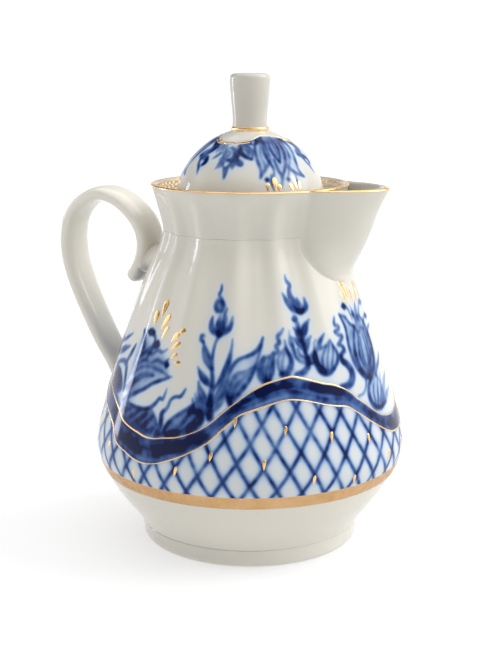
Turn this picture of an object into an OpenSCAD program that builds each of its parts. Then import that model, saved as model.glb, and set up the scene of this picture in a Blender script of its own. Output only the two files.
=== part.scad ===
// Tall covered porcelain teapot: flared-neck pot with a beak spout, a scrolled strap
// handle, gilded rim and belly band, and an inset domed lid with a tall knob.
// +Z is up, +X is the way the spout points, and the pot stands on z = 0.
// The origin is at the middle of the whole part's footprint.

/* [Pot] */

// Height of the neck's rim above the table, mm
rim_height = 150; // [140:1:165]
// Outside radius of the widest part of the belly, mm
belly_radius = 65; // [60:0.5:70]
// Outside radius of the waist, just below the flared neck, mm
waist_radius = 36.4; // [35.5:0.1:38]
// Outside radius of the neck at the rim, mm
rim_radius = 40.8; // [40:0.1:43]
// Outside radius of the foot ring, mm
foot_radius = 45.9; // [43:0.1:48]
// Wall thickness of the pot, mm
wall = 3; // [2.6:0.1:3.2]

/* [Spout] */

// How far the beak's tip stands out from the pot's axis, mm
spout_reach = 59.8; // [57:0.2:63]
// Half of the angle that the beak takes up round the neck, degrees
spout_half_angle = 31; // [27:1:33]
// Wall thickness of the beak, mm
spout_wall = 2.4; // [2:0.1:2.8]
// Radius of each strainer hole behind the beak, mm
strainer_r = 2.2; // [1.6:0.1:2.4]

/* [Handle] */

// How far the handle stands out from the pot's axis, mm
handle_reach = 89; // [86:0.2:94]
// Width of the handle strap, mm
strap_width = 19; // [15:0.5:21]
// Thickness of the handle strap, mm
strap_thickness = 6.4; // [5:0.2:7]

/* [Lid] */

// Height of the lid's knob above its dome, mm
knob_height = 23.4; // [18:0.2:28]
// Radius of the top of the knob, mm
knob_radius = 8.3; // [7:0.1:9.5]
// Wall thickness of the lid, mm
lid_wall = 2.6; // [2.2:0.1:3]

/* [Gilding] */

// Width of the gold band round the belly, mm
band_width = 5.2; // [3:0.2:6]
// Height of the gold band's lower edge above the table, mm
band_height = 31; // [30:0.5:34]

/* [Hidden] */

$fn = 96;
// Thickness that a fired gold layer is given here
gild = 0.16;
// The pot's axis, set so that the part reaches equally far each way from the origin
axis_x = (handle_reach - max(spout_reach, belly_radius)) / 2;
foot_height = 8;
foot_in = 39.5;
floor_z = 3.5;
belly_z = 0.28 * rim_height;
waist_z = 0.874 * rim_height;
ledge_z = rim_height - 11;
ledge_r = 32.2;

// Share of the way from foot to belly (first list) and from belly up to the waist
// (second list), as [share of the height, share of the radius]
lower = [[0, 0], [0.06, 0.07], [0.15, 0.19], [0.3, 0.4], [0.47, 0.62], [0.68, 0.83], [0.85, 0.95]];
upper = [[0, 1], [0.06, 0.98], [0.115, 0.945], [0.2, 0.868], [0.315, 0.769], [0.427, 0.668], [0.54, 0.553],
    [0.652, 0.427], [0.764, 0.29], [0.86, 0.157], [0.933, 0.052]];
neck = [[0, 0], [0.3, 0.2], [0.65, 0.61], [1, 1]];

// Outside of the pot from foot to rim, as [radius, height]
keys = concat(
    [for (k = lower) [foot_radius + (belly_radius - foot_radius) * k[1],
        foot_height + (belly_z - foot_height) * k[0]]],
    [for (k = upper) [waist_radius + (belly_radius - waist_radius) * k[1],
        belly_z + (waist_z - belly_z) * k[0]]],
    [for (k = neck) [waist_radius + (rim_radius - waist_radius) * k[1],
        waist_z + (rim_height - waist_z) * k[0]]]);

// A smooth curve through points, with n steps between each two
function spline(a, b, c, d, t) = 0.5 * (2 * b + (c - a) * t + (2 * a - 5 * b + 4 * c - d) * t * t
    + (3 * b - a - 3 * c + d) * t * t * t);
function smooth(p, n) = concat(
    [for (i = [0 : len(p) - 2], j = [0 : n - 1])
        spline(i > 0 ? p[i - 1] : 2 * p[0] - p[1], p[i], p[i + 1],
            i < len(p) - 2 ? p[i + 2] : 2 * p[i + 1] - p[i], j / n)],
    [p[len(p) - 1]]);
function unit(v) = v / norm(v);
function along(p, i) = unit(p[min(i + 1, len(p) - 1)] - p[max(i - 1, 0)]);
// The curve moved d to the left of its own direction
function beside(p, d) = [for (i = [0 : len(p) - 1]) let (t = along(p, i)) p[i] + d * [-t[1], t[0]]];
function reversed(p) = [for (i = [len(p) - 1 : -1 : 0]) p[i]];
// Linear lookup of the first column at the height z in the second
function radius_at(p, z, i = 0) = i >= len(p) - 2 || z <= p[i + 1][1]
    ? p[i][0] + (p[i + 1][0] - p[i][0]) * (z - p[i][1]) / (p[i + 1][1] - p[i][1])
    : radius_at(p, z, i + 1);

outer = smooth(keys, 3);
inner = [for (q = beside(outer, wall)) if (q[1] > foot_height + 2.4 && q[1] < waist_z - 0.6) q];
throat = [for (q = beside(outer, wall - 0.2)) if (q[1] > ledge_z && q[1] < rim_height - 1) q];
rim_in = rim_radius - wall + 0.4;

// Everything inside the pot's outer surface, with nothing hollow
module filled() rotate_extrude() polygon(concat([[0, foot_height]], outer, [[rim_radius, rim_height + 4],
    [0, rim_height + 4]]));

// Hollow belly and shoulder, from the floor to the seam at the waist
module pot_body() color([0.93, 0.93, 0.92]) translate([axis_x, 0, 0]) difference() {
    rotate_extrude() polygon(concat(
        [[0, floor_z], [foot_in, floor_z], [foot_in, foot_height]],
        [for (q = outer) if (q[1] < waist_z - 0.1) q],
        [[waist_radius, waist_z], [waist_radius - wall, waist_z]],
        reversed(inner),
        [[inner[0][0] - 3, floor_z + 4.6], [inner[0][0] - 7, floor_z + 4], [0, floor_z + 4]]));
    // Strainer holes behind the beak
    for (hole = [[-3.6, 120.5], [3.6, 120.5], [-7.2, 126.7], [0, 126.7], [7.2, 126.7]])
        translate([waist_radius - 8, hole[0], hole[1] * rim_height / 150]) rotate([0, 90, 0])
            cylinder(r = strainer_r, h = 22);
}

// Flared neck above the seam, with the ledge that the lid rests on
module neck_collar() color([0.93, 0.93, 0.92]) translate([axis_x, 0, 0]) rotate_extrude() polygon(concat(
    [[waist_radius - wall, waist_z], [waist_radius, waist_z]],
    [for (q = outer) if (q[1] > waist_z + 0.1 && q[1] < rim_height - 0.7) q],
    [[rim_radius - 0.1, rim_height - 0.5], [rim_radius - 0.5, rim_height - 0.1],
        [rim_radius - 0.8, rim_height], [rim_in + 0.6, rim_height], [rim_in + 0.2, rim_height - 0.4],
        [rim_in, rim_height - 1]],
    reversed(throat),
    [[throat[0][0], ledge_z], [ledge_r, ledge_z], [ledge_r, ledge_z - 2.5]]));

// Ring that the pot stands on
module foot_ring() color([0.9, 0.9, 0.89]) translate([axis_x, 0, 0]) rotate_extrude() polygon([
    [foot_in, 1.2], [foot_in + 0.8, 0.3], [foot_in + 1.6, 0], [foot_radius - 3, 0],
    [foot_radius - 1.6, 0.5], [foot_radius - 0.7, 1.4], [foot_radius - 0.3, 2.8],
    [foot_radius, foot_height - 1.4], [foot_radius, foot_height], [foot_in, foot_height]]);

// Keel of the beak, as [distance from the pot's axis, height]
keel = [[43.4, 112], [43.6, 115], [44.9, 118], [47.6, 122.5], [50, 127.5], [52.5, 134], [54.2, 139.7],
    [56.6, 143.7], [59.2, 147.1], [59.8, 150]];
keel_tip = keel[len(keel) - 1][0];
keel_root = 44;
// Only the part of the keel beyond its root follows the beak's reach
function keel_at(z) = let (k = radius_at(keel, z * 150 / rim_height))
    k + (spout_reach - keel_tip) * max(0, (k - keel_root) / (keel_tip - keel_root));
function half_angle(z) = let (u = max(0, (0.847 - z / rim_height) / 0.098))
    spout_half_angle * sqrt(max(0.05, 1 - u * u));
// One level of the beak's wall where the neck has the radius r: outside from one side to
// the other, then the inside back again, with both ends on the neck
turns = [for (j = [0 : 16]) 90 - 180 * j / 16];
function across(u) = sign(u) * pow(abs(sin(u)), 1.15);
function ahead(u) = pow(cos(u), 1.25);
function beak_ring(r, z, d) = let (y = r * sin(half_angle(z)), x = r * cos(half_angle(z)),
        k = max(r + 0.6, keel_at(z)), yi = max(0.4 * y, y - d), xi = sqrt(r * r - yi * yi), ki = k - 1.5 * d)
    concat([for (u = turns) [x + (k - x) * ahead(u), y * across(u), z]],
        [for (u = reversed(turns)) let (v = yi * across(u))
            [max(sqrt(r * r - v * v), xi + (ki - xi) * ahead(u)), v, z]]);
// A closed solid through rings with equal, even numbers of points. Each end is closed by
// a strip from one half of its ring to the other
module loft(rings) {
    n = len(rings[0]);
    m = len(rings);
    e = (m - 1) * n;
    polyhedron(points = [for (r = rings, p = r) p], faces = concat(
        [for (i = [0 : n / 2 - 2], h = [0, 1]) let (a = n - 1 - i, b = n - 2 - i)
            h == 0 ? [i, i + 1, b] : [i, b, a]],
        [for (k = [0 : m - 2], i = [0 : n - 1], h = [0, 1]) let (a = k * n + i, b = k * n + (i + 1) % n)
            h == 0 ? [a, a + n, b + n] : [a, b + n, b]],
        [for (i = [0 : n / 2 - 2], h = [0, 1]) let (a = e + n - 1 - i, b = e + n - 2 - i)
            h == 0 ? [b, e + i + 1, e + i] : [a, b, e + i]]));
}
module beak_spout() color([0.92, 0.92, 0.9]) translate([axis_x, 0, 0])
    loft([for (q = outer) if (q[1] > 0.75 * rim_height) beak_ring(1.0009 * q[0], q[1], spout_wall)]);

// Handle: middle of the strap from the scroll's end, over the top and down to the
// belly, as [distance from the pot's axis, height]
strap = [[54.9, 106.4], [53.6, 107.8], [51.2, 110.6], [49, 114.6], [47.4, 119.5], [47.3, 125.5], [49.2, 130.8],
    [52.8, 135.3], [57.3, 139.2], [62.4, 141.8], [68.8, 143], [75.3, 140.8], [80.9, 136.5], [84.4, 131.2],
    [85.8, 124.5], [85.8, 118.5], [84.6, 111.5], [81.6, 102.7], [76.3, 91.2], [69.5, 78.5], [63.6, 69.2],
    [57.5, 60], [53, 53.5]];
reach_share = (handle_reach - strap_thickness / 2 - 49) / 36.9;
path = [for (q = smooth(strap, 2)) [49 + (q[0] - 49) * reach_share, q[1] * rim_height / 150]];
function strap_ring(i) = let (t = along(path, i), c = path[i],
        w = strap_width / 2 * (i < 8 ? lookup(i, [[0, 0.34], [1, 0.52], [3, 0.66], [8, 1]]) : 1),
        h = strap_thickness / 2 * lookup(i, [[0, 0.5], [1, 0.9], [2, 1]]))
    [for (j = [0 : 19]) let (u = 18 * j, a = h * sign(cos(u)) * pow(abs(cos(u)), 0.7),
            b = w * sign(sin(u)) * pow(abs(sin(u)), 0.7))
        [-(c[0] - t[1] * a), b, c[1] + t[0] * a]];
module strap_handle() color([0.92, 0.92, 0.9]) translate([axis_x, 0, 0]) difference() {
    union() {
        loft([for (i = [0 : len(path) - 1]) strap_ring(i)]);
        // Root that joins the scroll to the shoulder
        translate([0, 6, 0]) rotate([90, 0, 0]) linear_extrude(height = 12) scale([1, rim_height / 150])
            polygon([[-47.6, 121.5], [-45, 123.5], [-38, 124], [-38, 108], [-46, 108.5], [-49, 111], [-49, 115]]);
    }
    filled();
}

// Gold line on the edge of the neck and the beak: its inner and outer radius on the neck
gold_in = rim_in + 0.6;
gold_out = rim_radius - 0.8;
function arc(r, from, to, n) = [for (i = [0 : n]) r * [cos(from + (to - from) * i / n), sin(from + (to - from) * i / n)]];
// Beak's edge from one side to the other, starting on the neck at the angle a
function lip(a, tip) = [for (u = turns) gold_out * [cos(a), 0] + [(tip - gold_out * cos(a)) * ahead(u),
    gold_out * sin(a) * across(u)]];
lip_out = spout_half_angle - 0.6;
lip_in = spout_half_angle - 2.4;
module rim_gilding() color([0.83, 0.62, 0.28]) translate([axis_x, 0, rim_height]) linear_extrude(height = gild)
    difference() {
        polygon(concat(lip(lip_out, spout_reach - 0.4), arc(gold_out, -lip_out - 4, lip_out - 356, 72)));
        polygon(arc(gold_in, 0, 356, 89));
        polygon(concat(lip(lip_in, spout_reach - 2.2), arc(gold_out, 4 - lip_in, lip_in - 4, 12)));
    }

// Gold band round the belly
band = [for (q = outer) if (q[1] > band_height && q[1] < band_height + band_width) q];
band_line = concat([[radius_at(outer, band_height), band_height]], band,
    [[radius_at(outer, band_height + band_width), band_height + band_width]]);
module belly_gilding() color([0.83, 0.62, 0.28]) translate([axis_x, 0, 0]) rotate_extrude()
    polygon(concat(band_line, reversed(beside(band_line, -gild))));

// Outside of the lid's dome from its brim to the foot of the knob, as [radius, height
// above the ledge]
dome_top = 32;
dome = smooth([[31.1, 3.4], [30.6, 7], [29.8, 10.5], [28.4, 14.2], [26.2, 18.2], [23.6, 21.8], [20.4, 25],
    [16.6, 28], [13.2, 30], [9.6, 31.6]], 3);
brim_r = throat[0][0] - 0.7;
module lid_dome() color([0.93, 0.93, 0.92]) translate([axis_x, 0, ledge_z]) rotate_extrude() polygon(concat(
    [[28.6, 0], [brim_r - 0.3, 0], [brim_r, 0.4], [brim_r, 1.8], [brim_r - 0.5, 2.4], [31.7, 2.6]],
    dome,
    [[7, dome_top], [0, dome_top], [0, dome_top - lid_wall - 0.6]],
    reversed([for (q = beside(dome, lid_wall)) if (q[0] < 28.2 && q[0] > 4 && q[1] > 3) q])));

// Short sleeve under the dome that keeps the lid in the neck
module lid_collar() color([0.92, 0.92, 0.9]) translate([axis_x, 0, ledge_z - 10]) rotate_extrude() polygon([
    [28.9, 0], [30.6, 0], [31.1, 0.6], [31.3, 10], [28.6, 10], [28.6, 0.4]]);

// Tall waisted knob
module lid_knob() color([0.93, 0.93, 0.92]) translate([axis_x, 0, ledge_z + dome_top]) rotate_extrude()
    polygon(concat([[0, 0], [7, 0]],
        [for (q = smooth([[7, 0.6], [7, 1.6], [6.85, 3], [6.8, 5], [7, 8], [7.4, 12], [7.8, 16.5], [8, 20],
            [7.9, 21.6]], 2)) [q[0] * knob_radius / 8, q[1] * (knob_height - 1) / 22.6]],
        [[knob_radius - 0.5, knob_height - 1.1], [knob_radius - 1.2, knob_height - 0.5],
            [knob_radius - 2.6, knob_height - 0.2], [knob_radius - 5, knob_height - 0.05],
            [0, knob_height]]));

// Gold ring round the foot of the knob, and under it
module knob_gilding() color([0.83, 0.62, 0.28]) translate([axis_x, 0, ledge_z + dome_top]) rotate_extrude()
    polygon([[7.4, 0], [7.8, 0], [7.85, 0.5], [7.8, 1.1], [7.65, 1.6], [7.4, 1.6]]);

pot_body();
neck_collar();
foot_ring();
beak_spout();
strap_handle();
rim_gilding();
belly_gilding();
lid_dome();
lid_collar();
lid_knob();
knob_gilding();
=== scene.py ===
"""Looks of the painted porcelain teapot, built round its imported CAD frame.

Heights and radii are in mm and angles in degrees until a mesh is made. On the pot and the lid an angle
is counted to the right from the line of sight of the reference photograph, seen from outside.
"""

import math

import bpy
import numpy as np
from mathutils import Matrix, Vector


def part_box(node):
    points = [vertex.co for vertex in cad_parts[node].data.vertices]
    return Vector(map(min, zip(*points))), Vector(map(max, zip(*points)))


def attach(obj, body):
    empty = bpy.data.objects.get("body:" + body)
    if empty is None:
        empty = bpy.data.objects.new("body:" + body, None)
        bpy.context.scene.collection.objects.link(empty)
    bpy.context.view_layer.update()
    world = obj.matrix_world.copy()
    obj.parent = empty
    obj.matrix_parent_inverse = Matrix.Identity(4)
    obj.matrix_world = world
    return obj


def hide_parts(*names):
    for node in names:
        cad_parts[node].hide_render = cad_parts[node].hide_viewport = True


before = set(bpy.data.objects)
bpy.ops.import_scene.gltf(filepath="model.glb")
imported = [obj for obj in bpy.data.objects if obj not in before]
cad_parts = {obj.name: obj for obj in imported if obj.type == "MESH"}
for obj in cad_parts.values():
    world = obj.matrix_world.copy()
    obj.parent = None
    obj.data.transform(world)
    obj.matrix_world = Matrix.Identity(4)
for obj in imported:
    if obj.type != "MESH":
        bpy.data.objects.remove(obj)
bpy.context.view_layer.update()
scene = bpy.context.scene

MM = 0.001
foot_lo, foot_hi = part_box("foot_ring")
AXIS_X = (foot_lo.x + foot_hi.x) / 2  # the pot's axis, in metres
VIEW = 24.0  # degrees that the camera stands round from straight ahead
BEAK_ANGLE = 90 - VIEW  # where the beak points
PAINT_Z = (30.0, 130.7)  # heights of the lowest and the highest painted row
PAINT_STEP = 0.31  # between rows of paint on the pot
LID_STEP = 0.28  # between rows of paint on the lid
BAND = (31.0, 36.2)  # heights of the gold band's edges
COLS = 1200  # columns of mesh and of paint round the pot
LID_COLS = 720


# ---------------------------------------------------------------- curves
def spline(keys, steps):
    """Catmull-Rom curve through rows of numbers."""
    p = np.array(keys, float)
    ends = np.vstack([2 * p[0] - p[1], p, 2 * p[-1] - p[-2]])
    t = np.arange(steps)[:, None] / steps
    out = [
        0.5
        * (
            2 * b
            + (c - a) * t
            + (2 * a - 5 * b + 4 * c - d) * t**2
            + (3 * b - a - 3 * c + d) * t**3
        )
        for a, b, c, d in zip(ends, ends[1:], ends[2:], ends[3:], strict=False)
    ]
    return np.vstack([*out, p[-1:]])


def resample(line, count):
    """A polyline cut into equal lengths."""
    line = np.array(line, float)
    s = np.r_[0, np.cumsum(np.linalg.norm(np.diff(line, axis=0), axis=1))]
    at = np.linspace(0, s[-1], count)
    return np.stack([np.interp(at, s, line[:, i]) for i in range(line.shape[1])], 1)


def ease(x, a, b):
    """Smooth step from 0 at a to 1 at b."""
    t = np.clip((np.asarray(x, float) - a) / (b - a), 0, 1)
    return t * t * (3 - 2 * t)


def smooth_max(a, b, k):
    """The larger of a and b, rounded where they are within k of each other."""
    h = np.clip(k - np.abs(a - b), 0, None)
    return np.maximum(a, b) + h * h / (4 * k)


# ---------------------------------------------------------------- the pot's form
FOOT_R, BELLY_R, WAIST_R, RIM_R = 45.9, 65.0, 36.4, 40.8
FOOT_Z, BELLY_Z, WAIST_Z, RIM_Z = 8.0, 42.0, 131.1, 150.0
LOWER = [(0, 0.03), (0.06, 0.085), (0.15, 0.19), (0.3, 0.4), (0.47, 0.62), (0.68, 0.83), (0.85, 0.95)]
UPPER = [(0, 1), (0.06, 0.98), (0.115, 0.945), (0.2, 0.868), (0.315, 0.769), (0.427, 0.668)]
UPPER += [(0.54, 0.553), (0.652, 0.427), (0.764, 0.29), (0.86, 0.157), (0.933, 0.052)]
NECK = [(0, 0), (0.3, 0.2), (0.65, 0.61), (1, 1)]
KEYS = [(FOOT_R + (BELLY_R - FOOT_R) * b, FOOT_Z + (BELLY_Z - FOOT_Z) * a) for a, b in LOWER]
KEYS += [(WAIST_R + (BELLY_R - WAIST_R) * b, BELLY_Z + (WAIST_Z - BELLY_Z) * a) for a, b in UPPER]
KEYS += [(WAIST_R + (RIM_R - WAIST_R) * b, WAIST_Z + (RIM_Z - WAIST_Z) * a) for a, b in NECK]
PROFILE = spline(KEYS, 16)


FLUTES = 16
FLUTE_DEPTH = 1.6
FLUTE_TURN = 8  # degrees that the flutes are turned by
WALL = 3.0


def radius(z):
    """Outside of the round form at a height."""
    return np.interp(z, PROFILE[:, 1], PROFILE[:, 0])


def flute(angle, z):
    """How far the fluted neck and shoulder stand back from the round form, in mm."""
    depth = FLUTE_DEPTH * ease(z, 60, 126) * (1 - ease(z, 142, 149))
    a = np.radians(np.asarray(angle, float) + FLUTE_TURN) * FLUTES
    ridge = (0.5 + 0.5 * np.cos(a)) ** 1.6
    # No flutes behind the beak
    from_beak = np.abs((np.asarray(angle, float) - BEAK_ANGLE + 180) % 360 - 180)
    calm = ease(from_beak, 24, 40)
    return depth * (1 - ridge) * calm


def wall(angle, z):
    """Outside of the fluted form."""
    return radius(z) - flute(angle, z)


def at(angle, r, z):
    """Points in metres, at an angle seen from the photograph's side."""
    phi = np.radians(np.asarray(angle, float) - BEAK_ANGLE)
    return np.stack([AXIS_X + MM * r * np.cos(phi), MM * r * np.sin(phi), MM * z + 0 * phi], -1)


def rings(profile, angles):
    """Points of a turned form, ring by ring, from its [radius, height] rows."""
    p = np.array(profile, float)
    return at(angles, p[:, :1], p[:, 1:])


# ---------------------------------------------------------------- meshes
def mesh_object(name, points, quads, material, body=None, slot=None, values=None, tris=()):
    """A smooth mesh that rides on a body. Values are attributes of its points, by name."""
    points = np.asarray(points, float).reshape(-1, 3)
    quads = np.asarray(quads, int).reshape(-1, 4)
    tris = np.asarray(tris, int).reshape(-1, 3)
    me = bpy.data.meshes.new(name)
    me.vertices.add(len(points))
    me.vertices.foreach_set("co", points.astype(np.float32).ravel())
    me.loops.add(quads.size + tris.size)
    me.loops.foreach_set("vertex_index", np.r_[quads.ravel(), tris.ravel()].astype(np.int32))
    me.polygons.add(len(quads) + len(tris))
    starts = np.r_[np.arange(len(quads)) * 4, quads.size + np.arange(len(tris)) * 3]
    me.polygons.foreach_set("loop_start", starts.astype(np.int32))
    me.update(calc_edges=True)
    me.validate()
    me.polygons.foreach_set("use_smooth", np.ones(len(me.polygons), bool))
    for key, value in (values or {}).items():
        attribute = me.attributes.new(key, "FLOAT", "POINT")
        attribute.data.foreach_set("value", np.asarray(value, np.float32).ravel())
    me.materials.append(material)
    ob = bpy.data.objects.new(name, me)
    scene.collection.objects.link(ob)
    if body:
        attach(ob, body)
    return ob


def grid(rows, cols, wrap=False):
    """Quads of a grid whose columns go round to the right, seen from outside, and whose rows go up."""
    j = np.arange(cols if wrap else cols - 1)
    i = np.arange(rows - 1)[:, None]
    k = (j + 1) % cols
    q = np.stack([i * cols + j, i * cols + k, (i + 1) * cols + k, (i + 1) * cols + j], -1)
    return q.reshape(-1, 4)


def ring_grid(rows, cols):
    """Quads of a grid that goes round and whose last row joins its first."""
    return grid(rows + 1, cols, True) % (rows * cols)


def turned(name, profile, cols, material, body, slot, closed=False):
    """A turned piece from its [radius, height] rows, up the outside and down the inside."""
    a = np.arange(cols) * 360 / cols
    quads = ring_grid(len(profile), cols) if closed else grid(len(profile), cols, True)
    return mesh_object(name, rings(profile, a), quads, material, body, slot)


def join_parts(parts):
    """(points, quads) of several grids as one."""
    pts, quads, n = [], [], 0
    for p, q in parts:
        p = p.reshape(-1, 3)
        pts.append(p)
        quads.append(q + n)
        n += len(p)
    return np.vstack(pts), np.vstack(quads)


# ---------------------------------------------------------------- brushwork
EDGE = 0.5  # softness of a stroke's edge
OPACITY, FULLEST = 0.94, 0.985  # what a stroke of full ink covers, and the most that one may
FAR = 99.0


class Paint:
    """Ink density on a turned wall: columns of angle, rows of height or of length along the wall."""

    def __init__(self, angles, rows, radii):
        self.n = angles
        self.step = 360 / angles
        self.rows = rows
        self.k = np.radians(1) * radii  # mm in a degree, row by row
        self.d = np.zeros((len(rows), angles))
        self.turn = 0.0  # degrees that the next strokes are moved by

    def window(self, lo, hi, pad):
        """Rows, columns and angles of the patch that a mark from lo to hi can touch."""
        z0, z1 = lo[1] - pad, hi[1] + pad
        r = np.nonzero((self.rows >= z0) & (self.rows <= z1))[0]
        if not len(r):
            return None
        wide = pad / self.k[r].min()
        first = math.floor((lo[0] - wide + 180) / self.step)
        last = math.ceil((hi[0] + wide + 180) / self.step)
        c = np.arange(first, last + 1)[: self.n]
        return r, c % self.n, c * self.step - 180

    def lay(self, r, c, m):
        """Lays ink over what is there."""
        part = self.d[np.ix_(r, c)]
        self.d[np.ix_(r, c)] = 1 - (1 - part) * (1 - np.clip(OPACITY * m, 0, FULLEST))

    def stroke(self, ink, *points, core=1.0):
        """A brush stroke through (angle, height, width) points. Core below 1 leaves the middle of the
        stroke paler than its edges."""
        line = spline(np.array(points, float) + [self.turn, 0.0, 0.0], 8)
        line = resample(line, max(6, int(1.3 * np.abs(np.diff(line[:, :2], axis=0)).sum() / 0.9)))
        pad = line[:, 2].max() / 2 + EDGE + 0.3
        win = self.window(line.min(0), line.max(0), pad)
        if win is None:
            return
        r, c, angle = win
        k, z = self.k[r][:, None], self.rows[r][:, None]
        best = np.full((len(r), len(c)), FAR)
        half = np.ones_like(best)
        for s in line:
            gap = np.hypot((angle - s[0]) * k, z - s[1]) - s[2] / 2
            near = gap < best
            best = np.where(near, gap, best)
            half = np.where(near, s[2] / 2, half)
        m = ink * np.clip(0.5 - best / (2 * EDGE), 0, 1)
        if core < 1:
            m *= core + (1 - core) * (1 - np.clip(-best / np.maximum(half, 0.2) / 0.75, 0, 1))
        self.lay(r, c, m)

    def leaf(self, a, b, width, bend=0.0, ink=0.8, core=0.8, peak=0.45):
        """A pointed leaf from a to b, bent sideways by bend mm."""
        a, b = np.array(a, float), np.array(b, float)
        k = np.interp((a[1] + b[1]) / 2, self.rows, self.k)
        side = np.array([-(b[1] - a[1]) / k, (b[0] - a[0]) * k])
        side = side / max(np.hypot(side[0] * k, side[1]), 1e-6)
        t = np.linspace(0, 1, 7)
        pts = a + (b - a) * t[:, None] + side * (bend * 4 * t * (1 - t))[:, None]
        w = width * np.where(t < peak, ease(t, -0.15, peak), 1 - ease(t, peak, 1.04)) + 0.35
        self.stroke(ink, *np.column_stack([pts, w]), core=core)

    def shape(self, outline, rim, middle, depth=1.2, soft=EDGE):
        """A closed petal, with the ink rim at its edge and middle from depth mm inwards."""
        p = np.array(outline, float) + [self.turn, 0.0]
        edge = spline(np.vstack([p, p[:1]]), 8)
        win = self.window(edge.min(0), edge.max(0), soft + 0.3)
        if win is None:
            return
        r, c, angle = win
        k, z = self.k[r][:, None], self.rows[r][:, None]
        best = np.full((len(r), len(c)), FAR)
        inside = np.zeros(best.shape, bool)
        x = angle + 0 * z
        for a, b in zip(edge[:-1], edge[1:], strict=True):
            d = np.array([(b[0] - a[0]) * k, (b[1] - a[1]) + 0 * k])
            v = np.array([(x - a[0]) * k, z - a[1] + 0 * x])
            t = np.clip((v * d).sum(0) / np.maximum((d * d).sum(0), 1e-9), 0, 1)
            best = np.minimum(best, np.hypot(*(v - t * d)))
            cross = (a[1] > z) != (b[1] > z)
            rise = b[1] - a[1] if abs(b[1] - a[1]) > 1e-9 else 1e-9
            inside ^= cross & (x < a[0] + (z - a[1]) * (b[0] - a[0]) / rise)
        gap = np.where(inside, -best, best)
        m = np.clip(0.5 - gap / (2 * soft), 0, 1)
        share = np.exp(-((np.clip(-gap, 0, None) / depth) ** 2))
        self.lay(r, c, m * (middle + (rim - middle) * share))

    def dot(self, a, z, wide, tall, ink):
        """A dab, wide degrees and tall mm from its middle to its edge."""
        self.shape([(a - wide, z), (a, z - tall), (a + wide, z), (a, z + tall)], ink, ink)

    def wash(self, outline, ink, soft=1.8):
        """A pale soft-edged wash."""
        self.shape(outline, ink, ink, 1.0, soft)

    def blurred(self, mm, spacing):
        """The ink spread by mm, where columns and rows are spacing mm apart."""
        n = int(3 * mm / spacing) + 1
        g = np.exp(-0.5 * (np.arange(-n, n + 1) * spacing / mm) ** 2)
        g /= g.sum()
        tall = np.pad(self.d, ((n, n), (0, 0)), mode="edge")
        up = sum(w * tall[i : i + len(self.d)] for i, w in enumerate(g))
        return sum(w * np.roll(up, i - n, 1) for i, w in enumerate(g))

    def fired(self, spacing):
        """The ink after firing: a little melted, uneven, with a pale halo."""
        uneven = Paint(self.n, self.rows, self.k)
        ink = self.blurred(0.3, spacing)
        uneven.d = np.random.default_rng(11).standard_normal(self.d.shape)
        fine, broad = uneven.blurred(0.9, spacing), uneven.blurred(2.6, spacing)
        ink = ink * np.clip(0.95 + 0.10 * fine / fine.std() + 0.08 * broad / broad.std(), 0.6, 1.2)
        glow = 0.25 * self.blurred(1.5, spacing) + 0.11 * self.blurred(4.2, spacing)
        return np.clip(ink + (1 - np.clip(ink, 0, 1)) * glow, 0, 1)


# Gold lines along the wavy ribbon, as (angle, height) once round the pot
RIBBON_TOP = [(-76, 69), (-70, 66.5), (-60, 62), (-55.5, 58.9), (-50, 57.3), (-45, 56.4), (-41, 55.6)]
RIBBON_TOP += [(-37, 55.7), (-33, 56.6), (-27, 57.8), (-20, 60.7), (-15, 64), (-10, 68.6), (-5, 72.5)]
RIBBON_TOP += [(0, 76), (5, 78.5), (10, 80), (15, 81), (18, 81), (25, 79), (30, 77.4), (35, 76.2)]
RIBBON_TOP += [(40, 74), (43, 72), (46, 69.3), (50, 66.5), (56, 62), (60, 59.8), (65, 58.5), (70, 58.2)]
RIBBON_TOP += [(76, 59), (84, 61.5), (95, 67), (105, 74), (116, 79), (128, 81), (140, 79.4), (152, 74.5)]
RIBBON_TOP += [(163, 67.5), (174, 60.5), (186, 56.5), (196, 56), (206, 58.5), (216, 64.5), (226, 71.5)]
RIBBON_TOP += [(236, 77.5), (247, 80.5), (256, 80.5), (266, 77.8), (275, 73.5), (284, 69)]
RIBBON_LOW = [(-76, 60.5), (-70, 59), (-62, 55.3), (-57, 49.8), (-50, 47.6), (-45, 46), (-40, 45.6)]
RIBBON_LOW += [(-35, 46.5), (-31, 48), (-25, 50.8), (-20, 53.8), (-15, 57.2), (-10, 62.3), (-7, 65)]
RIBBON_LOW += [(-4, 67.5), (0, 69), (5, 70.5), (10, 72), (15, 72.8), (20, 72.2), (25, 71), (30, 69.5)]
RIBBON_LOW += [(35, 68.3), (40, 67.2), (45, 64), (50, 60.3), (55, 57), (60, 54), (65, 51.8), (70, 51)]
RIBBON_LOW += [(76, 50.8), (84, 52.5), (95, 58), (105, 65), (116, 70.6), (128, 72.6), (140, 71), (152, 66)]
RIBBON_LOW += [(163, 59), (174, 52), (186, 48), (196, 47.3), (206, 49.8), (216, 55.5), (226, 62.5)]
RIBBON_LOW += [(236, 68.7), (247, 72), (256, 72), (266, 69.5), (275, 65.3), (284, 60.5)]


def ribbon(keys, angle):
    """Height of one of the ribbon's edges."""
    line = spline(keys, 6)
    return np.interp((np.asarray(angle, float) + 76) % 360 - 76, line[:, 0], line[:, 1])


LATTICE_Z = 57  # height at which both sets of lines start from angle 0


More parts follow.
